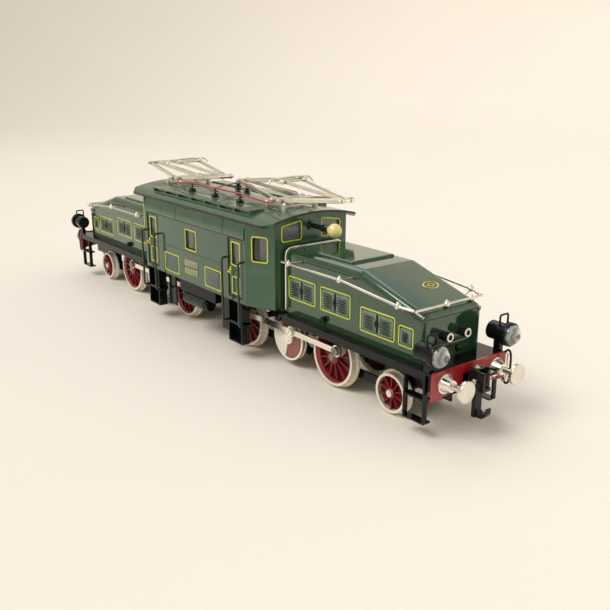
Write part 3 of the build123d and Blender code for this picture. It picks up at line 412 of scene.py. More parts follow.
def nickel(name, colour=NICKEL, rough=0.2):
    """Nickel plate: a fine polishing grain, faint tarnish in the clouded patches, and edges made brighter by
    a painted highlight.
    """
    paint = Paint(name)
    tone = paint.ramp(paint.noise(90, 5), (0.28, tint(colour, 0.80)), (0.60, colour),
                      (0.85, tint(colour, 1.08)))
    tone = paint.mix(paint.edge_highlight(), tone, tint(colour, 1.18))
    paint.to(tone, "Base Color")
    grain = paint.noise(700, 5, 0.7, (1, 1, 5))
    paint.to(paint.levels(grain, 0.3, 0.7, rough * 0.7, rough * 1.5), "Roughness")
    paint.set(Metallic=1.0)
    paint.bump(paint.noise(1500, 3, 0.6, (1, 1, 4)), 0.08, 0.00005)
    return paint


def layered(name, base, *layers, coat=0.4, specular=0.5):
    """One node with several finishes: (colour, metal, roughness), then layers that lie over it.

    A layer is (share, colour, metal, roughness), and share(paint) is 1 where the layer shows."""
    paint = Paint(name)
    colour, metal, rough = enamel_colour(paint, base[0]), base[1], base[2]
    for share_of, tone, metal_over, rough_over in layers:
        share = share_of(paint)
        colour = paint.mix(share, colour, enamel_colour(paint, tone, 1.15))
        metal = paint.blend_value(share, metal, metal_over)
        rough = paint.blend_value(share, rough, rough_over)
    paint.to(colour, "Base Color")
    paint.to(metal, "Metallic")
    grain = paint.levels(paint.noise(420, 5, 0.65), 0.3, 0.7, 0.75, 1.4)
    paint.to(paint.both(grain, rough), "Roughness")
    paint.set(Coat_Weight=coat, Coat_Roughness=0.06, Specular_IOR_Level=specular)
    paint.bump(paint.noise(900, 3, 0.6), 0.03, 0.00003)
    return paint


def radius_about(paint, x, z):
    """Distance from an axle line."""
    dx = paint.math("SUBTRACT", paint.axis("X"), x)
    dz = paint.math("SUBTRACT", paint.axis("Z"), z)
    return paint.math("SQRT", paint.math("ADD", paint.both(dx, dx), paint.both(dz, dz)))


green = enamel("green_enamel", GREEN)
green_roof = enamel("roof_enamel", GREEN_LIGHT, 0.2)
for cool in (green, green_roof):
    cool.set(Coat_Tint=COOL_GLOSS, Specular_Tint=COOL_GLOSS)
black = enamel("black_enamel", BLACK, 0.14, 0.2, 0.18)
rail_green = enamel("handrail_enamel", RAIL_GREEN, 0.2, 0.4, 0.4)
lime = enamel("lime_lining", LIME, 0.35, 0.2)
leaf_green = enamel("panel_enamel", GREY_GREEN, 0.3, 0.2, 0.4)
slat_green = enamel("louvre_enamel", SLAT_GREEN, 0.16, 0.5)
plate_tan = enamel("plate_enamel", PLATE_TAN, 0.35, 0.2)
busbar_red = enamel("busbar_enamel", BUSBAR_RED, 0.3, 0.4)
gold = nickel("gold_line", GOLD, 0.25)
plated = nickel("nickel_plate")
plated_dull = nickel("nickel_dull", tint(NICKEL, 0.82), 0.34)
steel = nickel("motor_castings", STEEL, 0.45)
brass = nickel("brass", BRASS, 0.3)
glaze = enamel("insulator_glaze", GLAZE, 0.12, 0.8)

GLASS_LOW, GLASS_HIGH = 0.058, 0.092        # heights between which the glass grows paler, painted light that is darker low and paler high
GLASS_DARK, GLASS_PALE = (0.035, 0.038, 0.040), (0.16, 0.17, 0.175)
window = Paint("window_glass")
pane_painted_light = window.levels(window.axis("Z"), GLASS_LOW, GLASS_HIGH, 0.0, 1.0)
window.to(window.ramp(pane_painted_light, (0.0, GLASS_DARK), (1.0, GLASS_PALE)), "Base Color")
window.to(window.levels(window.noise(60, 3), 0.3, 0.7, 0.05, 0.14), "Roughness")
window.set(Coat_Weight=0.6, Coat_Roughness=0.03)
window.bump(window.noise(140, 2), 0.04, 0.0001)
# painted shade: a dark enamel for slabs, strips and backs that stand in for shade in windows, gaps and
# grilles
painted_shade = enamel("painted_shade_enamel", PAINTED_SHADE_DARK, 0.12, 0.5)

# painted reflection in the pressed lamp glass: rings of the stepped reflector from its middle (0) to its rim
# (1), on a painted lit side and a painted shaded side
LENS_LIT_REFLECTION = ((0.0, (0.55, 0.58, 0.58)), (0.12, (0.06, 0.08, 0.08)), (0.26, (0.24, 0.27, 0.27)),
              (0.36, (0.95, 0.97, 0.97)), (0.60, (0.90, 0.93, 0.93)), (0.72, (0.30, 0.34, 0.33)),
              (0.86, (0.66, 0.70, 0.69)), (1.0, (0.10, 0.12, 0.12)))
LENS_SHADED_REFLECTION = ((0.0, (0.03, 0.04, 0.04)), (0.2, (0.10, 0.12, 0.12)), (0.45, (0.34, 0.37, 0.37)),
              (0.7, (0.16, 0.18, 0.18)), (0.86, (0.44, 0.47, 0.46)), (1.0, (0.04, 0.05, 0.05)))


def lamp_glass():
    """Clear domed glass with a painted reflection: the rings of the stepped reflector are painted in it,
    brighter on a painted lit side.
    """
    paint = Paint("lamp_lens")
    low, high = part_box("front_lamp_lenses")
    radius, middle = (high.z - low.z) / 2, (high.z + low.z) / 2
    centre_y = paint.math("MULTIPLY", paint.math("SIGN", paint.axis("Y")), high.y - radius)
    out = paint.math("SUBTRACT", paint.axis("Y"), centre_y)
    up = paint.math("SUBTRACT", paint.axis("Z"), middle)
    distance = paint.math("SQRT", paint.math("ADD", paint.both(out, out), paint.both(up, up)))
    wander = paint.levels(paint.noise(260, 3, 0.6), 0.3, 0.7, -0.10, 0.10)
    share = paint.math("ADD", paint.levels(distance, 0.0, radius, 0.0, 1.0), wander)
    across = paint.math("ADD", out, paint.both(wander, radius))
    # painted light: one side of each lens is painted lit and the other painted shaded
    lens_lit_side = paint.levels(across, -0.35 * radius, 0.25 * radius, 0, 1)
    paint.to(paint.mix(lens_lit_side, paint.ramp(share, *LENS_SHADED_REFLECTION), paint.ramp(share, *LENS_LIT_REFLECTION)), "Base Color")
    paint.to(paint.both(lens_lit_side, 0.85), "Metallic")
    paint.to(paint.levels(paint.noise(500, 4), 0.3, 0.7, 0.06, 0.22), "Roughness")
    paint.set(Alpha=0.8, Coat_Weight=1.0, Coat_Roughness=0.02)
    paint.bump(paint.noise(420, 2), 0.12, 0.0002)
    return paint


lens = lamp_glass()

mirror = nickel("reflector_silver", SILVER, 0.12)
bulb = Paint("frosted_bulb")
BULB_TONES = (0.32, (0.34, 0.25, 0.05)), (0.48, (0.66, 0.52, 0.14)), (0.68, (0.80, 0.70, 0.30))
bulb.to(bulb.ramp(bulb.noise(420, 5, 0.7), *BULB_TONES), "Base Color")
bulb.to(bulb.levels(bulb.noise(500, 4), 0.3, 0.7, 0.16, 0.34), "Roughness")
bulb.set(Subsurface_Weight=0.3, Subsurface_Scale=0.002, Coat_Weight=0.7, Coat_Roughness=0.06)
bulb.bump(bulb.noise(900, 3), 0.1, 0.00008)


def dress(node, paint):
    """Gives a CAD node its finish."""
    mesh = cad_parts[node].data
    mesh.materials.clear()
    mesh.materials.append(paint.material)
    for polygon in mesh.polygons:
        polygon.material_index = 0


# ---- CAD nodes and their finishes ----
for name in ("cab_sides", "cab_ends"):
    dress(name, green)
ROOF_LIP_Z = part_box("cab_roof")[0].z + 1.5 * MM
ROOF_END_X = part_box("cab_roof")[1].x - 0.25 * MM


def roof_edge_shade(paint):
    """The underside lip and the two end faces of the roof, painted black as painted shade under the eaves."""
    return paint.math("MAXIMUM", paint.below(paint.axis("Z"), ROOF_LIP_Z),
                      paint.above(paint.reach("X"), ROOF_END_X))


dress("cab_roof", layered("roof_finish", (GREEN_LIGHT, 0.0, 0.15), (roof_edge_shade, BLACK, 0.0, 0.3), coat=0.25,
                          specular=0.3))
dress("roof_walkways", green_roof)
dress("cab_floor", black)
dress("cab_steps", black)
dress("cab_handrails", rail_green)
dress("busbars", busbar_red)
dress("pantograph_bases", plated_dull)
dress("motor", steel)
dress("pickup_shoe", brass)
dress("roof_insulators", glaze)

TANK_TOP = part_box("underframe_equipment")[0].z + 10.0 * MM
TANK_END_X = 11.0 * MM
BULB_START_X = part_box("cab_lamps")[1].x - 8.7 * MM


def tank_share(paint):
    """The air cylinder among the boxes."""
    return paint.both(paint.below(paint.axis("Z"), TANK_TOP), paint.below(paint.axis("X"), TANK_END_X))


def bulb_share(paint):
    """The bulb at the end of the cab lamp's arm."""
    return paint.above(paint.reach("X"), BULB_START_X)


dress("underframe_equipment", layered("equipment", (BLACK, 0.0, 0.2), (tank_share, TANK_GREEN, 0.0, 0.2),
                                      coat=0.1, specular=0.12))
cab_lamp = layered("cab_lamp_finish", (BLACK, 0.0, 0.22), (bulb_share, BULB_YELLOW, 0.0, 0.2), coat=0.8)
dress("cab_lamps", cab_lamp)

NOSE_X, BEAM_FACE_X = 202.0 * MM, 215.0 * MM
BEND_X = 154.0 * MM                             # where the hood's top starts to slope
SILL = 35.8 * MM                                # the cab side's lower edge above the rail
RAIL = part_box("cab_sides")[0].z - SILL          # height of the rail top in the row frame
SEAM_X, SEAM_HALF = BEND_X + 0.25 * MM, 0.36 * MM
SOCKET_START_X, SOCKET_TOP = NOSE_X + 0.8 * MM, 53      # the black sockets on the nose, and their top in mm


def z(height_mm):
    """A height above the rail, in the row frame."""
    return RAIL + height_mm * MM


def hood_finish(place):
    """Green enamel darkened as painted shade; the nose sockets are black and a dark seam runs down at the
    bend.
    """
    paint = Paint(f"{place}_hood_enamel")
    reach = paint.reach("X")
    from_seam = paint.math("ABSOLUTE", paint.math("SUBTRACT", reach, SEAM_X))
    seam = paint.below(from_seam, SEAM_HALF, 0.00006)
    socket = paint.both(paint.above(reach, SOCKET_START_X), paint.below(paint.axis("Z"), z(SOCKET_TOP)))
    base = paint.mix(seam, enamel_colour(paint, HOOD_GREEN_SHADED), SEAM_DARK)
    paint.to(paint.mix(socket, base, BLACK), "Base Color")
    paint.to(paint.levels(paint.noise(120, 4), 0.3, 0.7, 0.07, 0.15), "Roughness")
    paint.set(Coat_Weight=0.9, Coat_Roughness=0.02, Coat_Tint=COOL_GLOSS, Specular_Tint=COOL_GLOSS)
    paint.bump(paint.math("SUBTRACT", paint.both(paint.noise(520, 3, 0.5), 0.1), seam), 0.3, 0.0001)
    return paint


RIM_INSIDE = {"outer_drivers": 15.6 * MM, "inner_drivers": 15.6 * MM, "pony_wheels": 9.5 * MM}
CRANK_THROW = 8.0 * MM * math.sqrt(0.5)     # along X and along Z, because the cranks stand at 45 degrees
WEB_FACE, HUB_FACE, BOSS_FACE = 16.65 * MM, 18.93 * MM, 19.85 * MM      # faces of a wheel, outwards
CRANK_BOSS_R, AXLE_END_R = 3.5 * MM, 2.05 * MM
DISC_FACE = (17.2 * MM, 18.1 * MM)          # the jackshaft disc's red face lies between these
HANDLE_FACE = 35.75 * MM                    # a door's handle stands outside this


def wheel_finish(name, centre_x, centre_z, rim_inside, cranks):
    """Red spokes on a web painted near black as painted shade between the spokes, an ivory tyre and crank
    boss, and bright axle and crank pins.
    """
    def web_shade(paint):
        return paint.below(paint.reach("Y"), WEB_FACE)

    def tyre(paint):
        return paint.above(radius_about(paint, centre_x, centre_z), rim_inside - 0.02 * MM)

    def boss(paint):
        """The crank stands ahead of the axle on the seen side and behind it on the other."""
        across = paint.math("SIGN", paint.axis("Y"))
        crank_x = paint.math("ADD", paint.math("MULTIPLY", across, -CRANK_THROW), centre_x)
        near = paint.below(radius_about(paint, crank_x, centre_z + CRANK_THROW), CRANK_BOSS_R)
        return paint.both(near, paint.above(paint.reach("Y"), WEB_FACE))

    def axle_end(paint):
        return paint.both(paint.below(radius_about(paint, centre_x, centre_z), AXLE_END_R),
                          paint.above(paint.reach("Y"), HUB_FACE - 0.1 * MM))

    def pin(paint):
        return paint.above(paint.reach("Y"), BOSS_FACE)

    layers = [(web_shade, WEB_SHADE_RED, 0.0, 0.3), (tyre, IVORY, 0.2, 0.24), (axle_end, NICKEL, 1.0, 0.22)]
    if cranks:
        layers += [(boss, IVORY, 0.2, 0.24), (pin, PIN_GREY, 0.8, 0.2)]
    return layered(name, (SPOKE_RED, 0.0, 0.24), *layers, coat=0.15, specular=0.25)


def beam_socket(paint):
    """The nickel buffer sockets that stand on the beam's face."""
    return paint.above(paint.reach("X"), BEAM_FACE_X + 0.03 * MM, 0.00002)


def disc_face(paint):
    return paint.both(paint.below(paint.reach("Y"), DISC_FACE[1]),
                      paint.above(paint.reach("Y"), DISC_FACE[0]))


def handle(paint):
    return paint.above(paint.reach("Y"), HANDLE_FACE, 0.00003)


for place, end in ENDS:
    dress(f"{place}_hood", hood_finish(place))
    for node in ("footplate", "bogie_frame", "coupler", "headlamps"):
        dress(f"{place}_{node}", black)
    dress(f"{place}_buffer_beam", layered(f"{place}_beam_finish", (RED, 0.0, 0.2),
                                          (beam_socket, NICKEL, 1.0, 0.2)))
    dress(f"{place}_hood_handrail", plated)
    dress(f"{place}_lamp_lenses", lens)
    for node in ("lower_arm_out", "lower_arm_in", "upper_arm_out", "upper_arm_in", "collector_bow"):
        dress(f"{place}_{node}", plated)
    for wheels, rim_inside in RIM_INSIDE.items():
        low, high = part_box(f"{place}_{wheels}")
        centre_x, radius = (low.x + high.x) / 2, (high.z - low.z) / 2
        dress(f"{place}_{wheels}", wheel_finish(f"{place}_{wheels}_finish", centre_x, low.z + radius,
                                                rim_inside, wheels != "pony_wheels"))
    dress(f"{place}_jackshaft", layered(f"{place}_jackshaft_finish", (IVORY, 0.2, 0.24),
                                        (disc_face, SPOKE_RED, 0.0, 0.26)))
    for hand, side in SIDES:
        dress(f"{place}_{hand}_side_rod", plated)
        dress(f"{place}_{hand}_buffer", plated)
        dress(f"{place}_{hand}_door", layered(f"{place}_{hand}_door_finish", (GREEN, 0.0, 0.16),
                                              (handle, GOLD, 1.0, 0.25)))

# ---- hood details ----
SUNK = -0.05 * MM                       # pieces start this far under the surface that carries them
LINING = (0.7 * MM, SUNK, 0.22 * MM)    # width, foot and top of a lining
SKIN_Y = 21.5 * MM                      # outside of the hood's side
LOUVRE_ROWS = 6
HIGH_ROW, LOW_ROW = (9.2, 23.3), (5.9, 19.7)        # panel heights above the running board, in mm
END_PANEL_DROP = 2.6
KNOB = ((0, 1.7), (0.3, 1.9), (2.2, 1.8), (2.6, 1.3))


def in_mm(profile):
    """A turned profile given in millimetres."""
    return [(along * MM, radius * MM) for along, radius in profile]


def louvred_door(lines, slats, leaves, iron, surface, a0, a1, b0, b1, leaf_count):
    """A lined panel of louvred leaves, with bolts, and a handle between two leaves."""
    lines.band(surface, rounded(a0, b0, a1, b1, 1.6 * MM), *LINING)
    edge = 1.5 * MM                     # from the lining's outside to the leaves
    middle = 1.7 * MM if leaf_count == 2 else 0.0
    width = ((a1 - a0) - 2 * edge - middle) / leaf_count
    for k in range(leaf_count):
        s0 = a0 + edge + k * (width + middle)
        leaf = rounded(s0, b0 + edge, s0 + width, b1 - edge, 0.5 * MM, 3)
        leaves.slab(surface, leaf, SUNK, 0.16 * MM, 0.1 * MM)
        inner_low, inner_high = b0 + edge + 1.3 * MM, b1 - edge - 1.0 * MM
        pitch = (inner_high - inner_low) / LOUVRE_ROWS
        for r in range(LOUVRE_ROWS):
            slats.louvre(surface, s0 + 0.9 * MM, s0 + width - 0.9 * MM, inner_low + r * pitch, 0.95 * MM,
                         pitch * 0.58)
    for a in (a0 + 1.25 * MM, a1 - 1.25 * MM):
        for b in (b0 + 1.5 * MM, b1 - 1.5 * MM):
            iron.bolt(surface, a, b, 0.5 * MM, 0.5 * MM)
    if leaf_count == 2:
        mid_a, mid_b = (a0 + a1) / 2, (b0 + b1) / 2
        bar = rounded(mid_a - 0.28 * MM, b0 + 2 * MM, mid_a + 0.28 * MM, b1 - 2 * MM, 0.25 * MM, 3)
        iron.slab(surface, bar, SUNK, 0.5 * MM, 0.12 * MM)
        oval = [(mid_a + 1.35 * MM * math.cos(t), mid_b + 2.3 * MM * math.sin(t))
                for t in round_steps(20)]
        iron.slab(surface, oval, 0.0, 0.85 * MM, 0.25 * MM)
        iron.bolt(surface, mid_a, mid_b, 0.55 * MM, 1.5 * MM)


for place, end in ENDS:
    body = f"{place}_bogie"
    hood_low, hood_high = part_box(f"{place}_hood")
    hood_rear = min(abs(hood_low.x), abs(hood_high.x))
    lines, slats, leaves, iron = Shape(), Shape(), Shape(), Shape()
    board = hood_low.z
    for hand, side in SIDES:
        surface = Surface((0, side * SKIN_Y, 0), (-side, 0, 0), (0, 0, 1))
        flip = -side * end
        high_row, low_row = ([board + height * MM for height in row] for row in (HIGH_ROW, LOW_ROW))
        panels = ((3.2, 28.7, high_row, 2), (33.4, 59.5, high_row, 2), (67.6, 94.4, low_row, 2),
                  (97.0, 107.8, (low_row[0], low_row[1] - END_PANEL_DROP * MM), 1))
        for start, finish, (b0, b1), count in panels:
            ends_at = sorted(flip * (hood_rear + s * MM) for s in (start, finish))
            louvred_door(lines, slats, leaves, iron, surface, *ends_at, b0, b1, count)
        knob = surface.at(flip * (hood_rear + 37.5 * MM), board + 4.4 * MM)
        iron.turned(knob, surface.n, in_mm(KNOB), 20)
    lines.piece(f"{place}_hood_lining", lime, body, "green_enamel")
    slats.piece(f"{place}_hood_louvres", slat_green, body, "green_enamel")
    leaves.piece(f"{place}_hood_leaves", leaf_green, body, "green_enamel")
    iron.piece(f"{place}_hood_fittings", black, body, "black_enamel")

# ---- cab details ----
side_box, end_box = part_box("cab_sides"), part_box("cab_ends")
CAB_Y, CAB_X = side_box[1].y, side_box[1].x
FRONT_X = end_box[1].x
FRONT_Y = 27.5 * MM
SHOULDER = ((77.0, 0.30), (77.25, 0.50), (78.2, 0.62), (79.6, 0.60), (81.2, 0.42), (82.8, 0.12),
            (84.4, -0.28), (86.0, -0.75), (87.3, -1.25))        # height and distance out from the wall
SHOULDER_SEAMS = (-65.6, -40.5, -19.0, 20.2, 41.3, 65.6)
SEAM_GAP, PLATE_DEPTH = 0.28, 0.45              # half the gap between shoulder plates, and their depth
SEAM_FILL = (0.05, 0.4, 0.35 * MM)              # depths of the dark strip of painted shade in a gap, and half its width
GRILLE_SLATS = 7
DOOR_OPENING = (46.8, 62.6, 38.6, 76.2)         # along X and up, in mm
PLATES = ((47.2, 51.8), (41.6, 46.2))           # low and high edge of the plates on the cab side
# foot, top and eased edge of a dark strip of painted shade before the glass, and of the glass itself
SHADE, DOOR_SHADE = (-1.3 * MM, -1.2 * MM, 0.02 * MM), (-0.8 * MM, -0.7 * MM, 0.02 * MM)
WALL_GLASS, END_GLASS, DOOR_GLASS = ((low * MM, high * MM, 0.05 * MM)
                                     for low, high in ((-1.75, -1.25), (-1.8, -1.25), (-1.35, -0.75)))

cab_lines, cab_glass, cab_slats, cab_leaves, cab_ribs, plates, plate_lines = (Shape() for _ in range(7))
painted_shade_panes, painted_shade_bands = Shape(), Shape()
for hand, side in SIDES:
    wall = Surface((0, side * CAB_Y, 0), (-side, 0, 0), (0, 0, 1))
    half, low, high = 6.6 * MM, z(59.2), z(72.0)
    # painted shade: a dark slab over part of the middle window
    painted_shade_panes.slab(wall, rounded(-half * side, low, -half * side * 0.05, high, 0.3 * MM), *SHADE)
    for end in (1, -1):
        x0, x1, b0, b1 = DOOR_OPENING
        a0, a1 = sorted(-side * end * x * MM for x in (x0 - 0.3, x1 + 0.3))
        # painted shade: a black band in the gap round each door opening
        painted_shade_bands.band(wall, rounded(a0, z(b0 - 0.3), a1, z(b1 + 0.3), 1.6 * MM), 0.55 * MM, SUNK, 0.16 * MM)
    pane = (-half, low, half, high)
    cab_lines.band(wall, widened(pane, 0.7 * MM, 1.2 * MM), *LINING)
    cab_glass.slab(wall, widened(pane, 1 * MM, 0.8 * MM), *WALL_GLASS)
    for middle in (-27.5 * MM, 27.5 * MM):
        a0, a1, b0, b1 = middle - 10.2 * MM, middle + 10.2 * MM, z(38.2), z(51.6)
        cab_lines.band(wall, rounded(a0, b0, a1, b1, 1.4 * MM), *LINING)
        # the grille's back plate is dark enamel, painted shade behind the slats
        cab_leaves.slab(wall, widened((a0, b0, a1, b1), -1.2 * MM, 0.5 * MM, 3), SUNK, 0.12 * MM, 0.08 * MM)
        pitch = (b1 - b0 - 2.2 * MM) / GRILLE_SLATS
        for r in range(GRILLE_SLATS):
            cab_slats.louvre(wall, a0 + 1.5 * MM, a1 - 1.5 * MM, b0 + 1.3 * MM + r * pitch, 0.8 * MM,
                             pitch * 0.55)
    # belt bead, and the shoulder plates that lap over the wall under the roof
    cab_ribs.band(wall, rounded(-39 * MM, z(56.6), 37 * MM, z(57.3), 0.3 * MM, 3), 0.34 * MM, SUNK, 0.2 * MM)
    for k, (x0, x1) in enumerate(zip(SHOULDER_SEAMS, SHOULDER_SEAMS[1:])):
        lap = 0.12 * MM * (k % 2)
        rings = []
        for x in ((x0 + SEAM_GAP) * MM, (x1 - SEAM_GAP) * MM):
            outside = [(x, side * (CAB_Y + out * MM + lap), z(height)) for height, out in SHOULDER]
            inside = [(x, side * (CAB_Y + (out - PLATE_DEPTH) * MM), z(height))
                      for height, out in reversed(SHOULDER)]
            rings.append(outside + inside)
        cab_ribs.rings(rings)
    # painted shade: dark strips in the gaps between the shoulder plates
    for x in SHOULDER_SEAMS[1:-1]:
        profile = [(out - SEAM_FILL[0], height) for height, out in SHOULDER]
        profile += [(out - SEAM_FILL[1], height) for height, out in reversed(SHOULDER)]
        painted_shade_panes.rings([[(x * MM + shift, side * (CAB_Y + depth * MM), z(height))
                           for depth, height in profile] for shift in (-SEAM_FILL[2], SEAM_FILL[2])])
    # painted shadow: a thin black line under the lower edge of the shoulder plates
    shoulder_shadow_line = [(x * MM, side * (CAB_Y + 0.12 * MM), z(76.72)) for x in (-65.4, 0.0, 65.4)]
    painted_shade_bands.tube(shoulder_shadow_line, 0.26 * MM, 8)
    # plain builder's and number plates, without lettering
    for b0, b1 in ((z(lower), z(upper)) for lower, upper in PLATES):
        outline = rounded(-8.6 * MM, b0, 8.6 * MM, b1, 0.4 * MM, 3)
        plates.slab(wall, outline, SUNK, 0.35 * MM, 0.12 * MM)
        plate_lines.band(wall, rounded(-7.9 * MM, b0 + 0.6 * MM, 7.9 * MM, b1 - 0.6 * MM, 0.3 * MM, 3),
                         0.25 * MM, 0.3 * MM, 0.45 * MM)

    for place, end in ENDS:
        # slanted corner panel, its window and lining
        run = Vector((end * (FRONT_X - CAB_X), side * (FRONT_Y - CAB_Y), 0))
        length = run.length
        start = Vector((end * CAB_X, side * CAB_Y, 0))
        forward = run.normalized()
        flipped = forward.cross(Vector((0, 0, 1))).dot(Vector((0, side, 0))) < 0
        panel = Surface(start, -forward if flipped else forward, (0, 0, 1))
        sign = -1 if flipped else 1
        a0, a1 = sorted((sign * 4.9 * MM, sign * 15.3 * MM))
        cab_lines.band(panel, rounded(a0 - 0.6 * MM, z(64.2), a1 + 0.6 * MM, z(80.2), 1.9 * MM), *LINING)
        belt = sorted((sign * 1.2 * MM, sign * (length - 1.2 * MM)))
        for height in (57.6, 59.0):
            strip = rounded(belt[0], z(height), belt[1], z(height + 0.45), 0.2 * MM, 3)
            cab_ribs.band(panel, strip, 0.2 * MM, SUNK, 0.12 * MM)
        cab_glass.slab(panel, widened((a0, z(64.8), a1, z(79.6)), 1 * MM, 1 * MM), *END_GLASS)
        dark = sorted((sign * 5.0 * MM, sign * 9.6 * MM))
        # painted shade: a dark slab over part of the corner window
        painted_shade_panes.slab(panel, rounded(dark[0], z(64.9), dark[1], z(79.5), 0.3 * MM), *SHADE)
        # end window
        face = Surface((end * FRONT_X, 0, 0), (0, end, 0), (0, 0, 1))
        near, far = side * end * 8.1 * MM, side * end * 22.1 * MM
        corners = [(near, z(77.6)), (far, z(77.6)), (far, z(86.3)), (near, z(88.6))]
        if near > far:
            corners = [corners[1], corners[0], corners[3], corners[2]]
        grown = shrink(rounded_polygon(corners, 1.3 * MM), -0.65 * MM)
        cab_lines.band(face, grown, *LINING)
        cab_glass.slab(face, shrink(rounded_polygon(corners, 1.0 * MM), -0.9 * MM), *END_GLASS)

painted_shade_panes.piece("cab_painted_shade_panes", painted_shade, "cab", "black_enamel")
painted_shade_bands.piece("cab_painted_shade_bands", black, "cab", "black_enamel")
cab_lines.piece("cab_lining", lime, "cab", "green_enamel")
cab_glass.piece("cab_glazing", window, "cab", "green_enamel")
cab_slats.piece("cab_grille_slats", leaf_green, "cab", "green_enamel")
cab_leaves.piece("cab_grille_backs", painted_shade, "cab", "green_enamel")
cab_ribs.piece("cab_ribs", green, "cab", "green_enamel")
plates.piece("cab_plates", plate_tan, "cab", "green_enamel")
plate_lines.piece("cab_plate_borders", gold, "cab", "brass")

# doors: pane with a dark strip of painted shade before it, lining round it and the lined lower panel
DOOR_Y = 35.7 * MM
for place, end in ENDS:
    for hand, side in SIDES:
        door = f"{place}_{hand}_door"
        wall = Surface((0, side * DOOR_Y, 0), (-side, 0, 0), (0, 0, 1))
        a0, a1 = sorted(-side * end * x * MM for x in (50.3, 59.0))
        lines, glass = Shape(), Shape()
        lines.band(wall, widened((a0, z(59.2), a1, z(73.3)), 0.6 * MM, 1.3 * MM), *LINING)
        lines.band(wall, rounded(a0 - 0.2 * MM, z(40.6), a1 + 0.2 * MM, z(51.9), 1.2 * MM), *LINING)
        glass.slab(wall, rounded(a0 - 0.8 * MM, z(58.4), a1 + 0.8 * MM, z(74.1), 0.8 * MM),
                   *DOOR_GLASS)
        # painted shade: a dark strip over part of the door's pane
        shade = Shape()
        near, far = (a0, a1) if side < 0 else (a1, a0)
        dark = sorted((near, 0.62 * near + 0.38 * far))
        shade.slab(wall, rounded(dark[0], z(59.4), dark[1], z(73.1), 0.3 * MM), *DOOR_SHADE)
        shade.piece(f"{door}_shade", painted_shade, door, "black_enamel")
        lines.piece(f"{door}_lining", lime, door, "green_enamel")
        glass.piece(f"{door}_glazing", window, door, "green_enamel")

# ---- bogie fittings: lamps, nose, hood bead and ornament, air hoses, handrail balls, coupler parts ----


def smooth_route(route, steps=5):
    """A curve through every point of the route."""
    points = []
    for i in range(len(route) - 1):
        around = route[max(i - 1, 0)], route[i], route[i + 1], route[min(i + 2, len(route) - 1)]
        for t in (k / steps for k in range(steps)):
            points.append([0.5 * (2 * b + (c - a) * t + (2 * a - 5 * b + 4 * c - d) * t ** 2
                                  + (3 * b - a - 3 * c + d) * t ** 3) for a, b, c, d in zip(*around)])
    return points + [route[-1]]


LENS_DEPTH, RIM_FRONT_X, LAMP_Y = 6.15 * MM, 217.5 * MM, 26.8 * MM
# turned profiles: distance along the axis and radius, in mm
BOWL = ((-4.6, 0.01), (-4.6, 1.2), (-4.1, 2.4), (-2.8, 3.6), (-0.3, 3.98), (-0.03, 4.6), (-0.03, 5.55),
        (0.35, 5.6), (0.3, 5.0), (0.05, 4.1), (-0.5, 3.7), (-2.6, 3.2), (-3.8, 2.0), (-4.2, 0.9),
        (-4.2, 0.01))
LAMP_BULB = ((-4.2, 0.8), (-2.9, 0.85), (-2.2, 1.2), (-1.2, 1.3), (-0.4, 0.9), (-0.1, 0.2))
RIM_RING = ((-0.1, 6.05), (0.15, 6.38), (0.55, 6.3), (0.8, 5.95), (0.75, 5.62), (0.2, 5.55))
SOCKET_RING = ((0.0, 2.3), (0.9, 2.4), (1.2, 2.15), (1.15, 1.5), (0.2, 1.45))
SOCKET_PLUG = ((0, 1.35), (0.12, 1.4), (0.2, 1.2))
NOSE_KNOB = ((-0.1, 1.7), (0.9, 1.6), (1.3, 1.1), (1.4, 0.2))
SOCKET_YS, SOCKET_Z = (-8.6, 4.6), 48.4
BEAD_Y, BEAD_TOP, BEAD_TURN, BEAD_R = 21.75 * MM, z(74.2), 4.5 * MM, 0.6 * MM
NOSE_DROP, NOSE_RUN = 14.0 * MM, 48.0 * MM      # of the hood's sloping top
BADGE_Y, BADGE_DOWN = 6.5 * MM, 0.52            # the ornament's place on the slope; its share of the way down


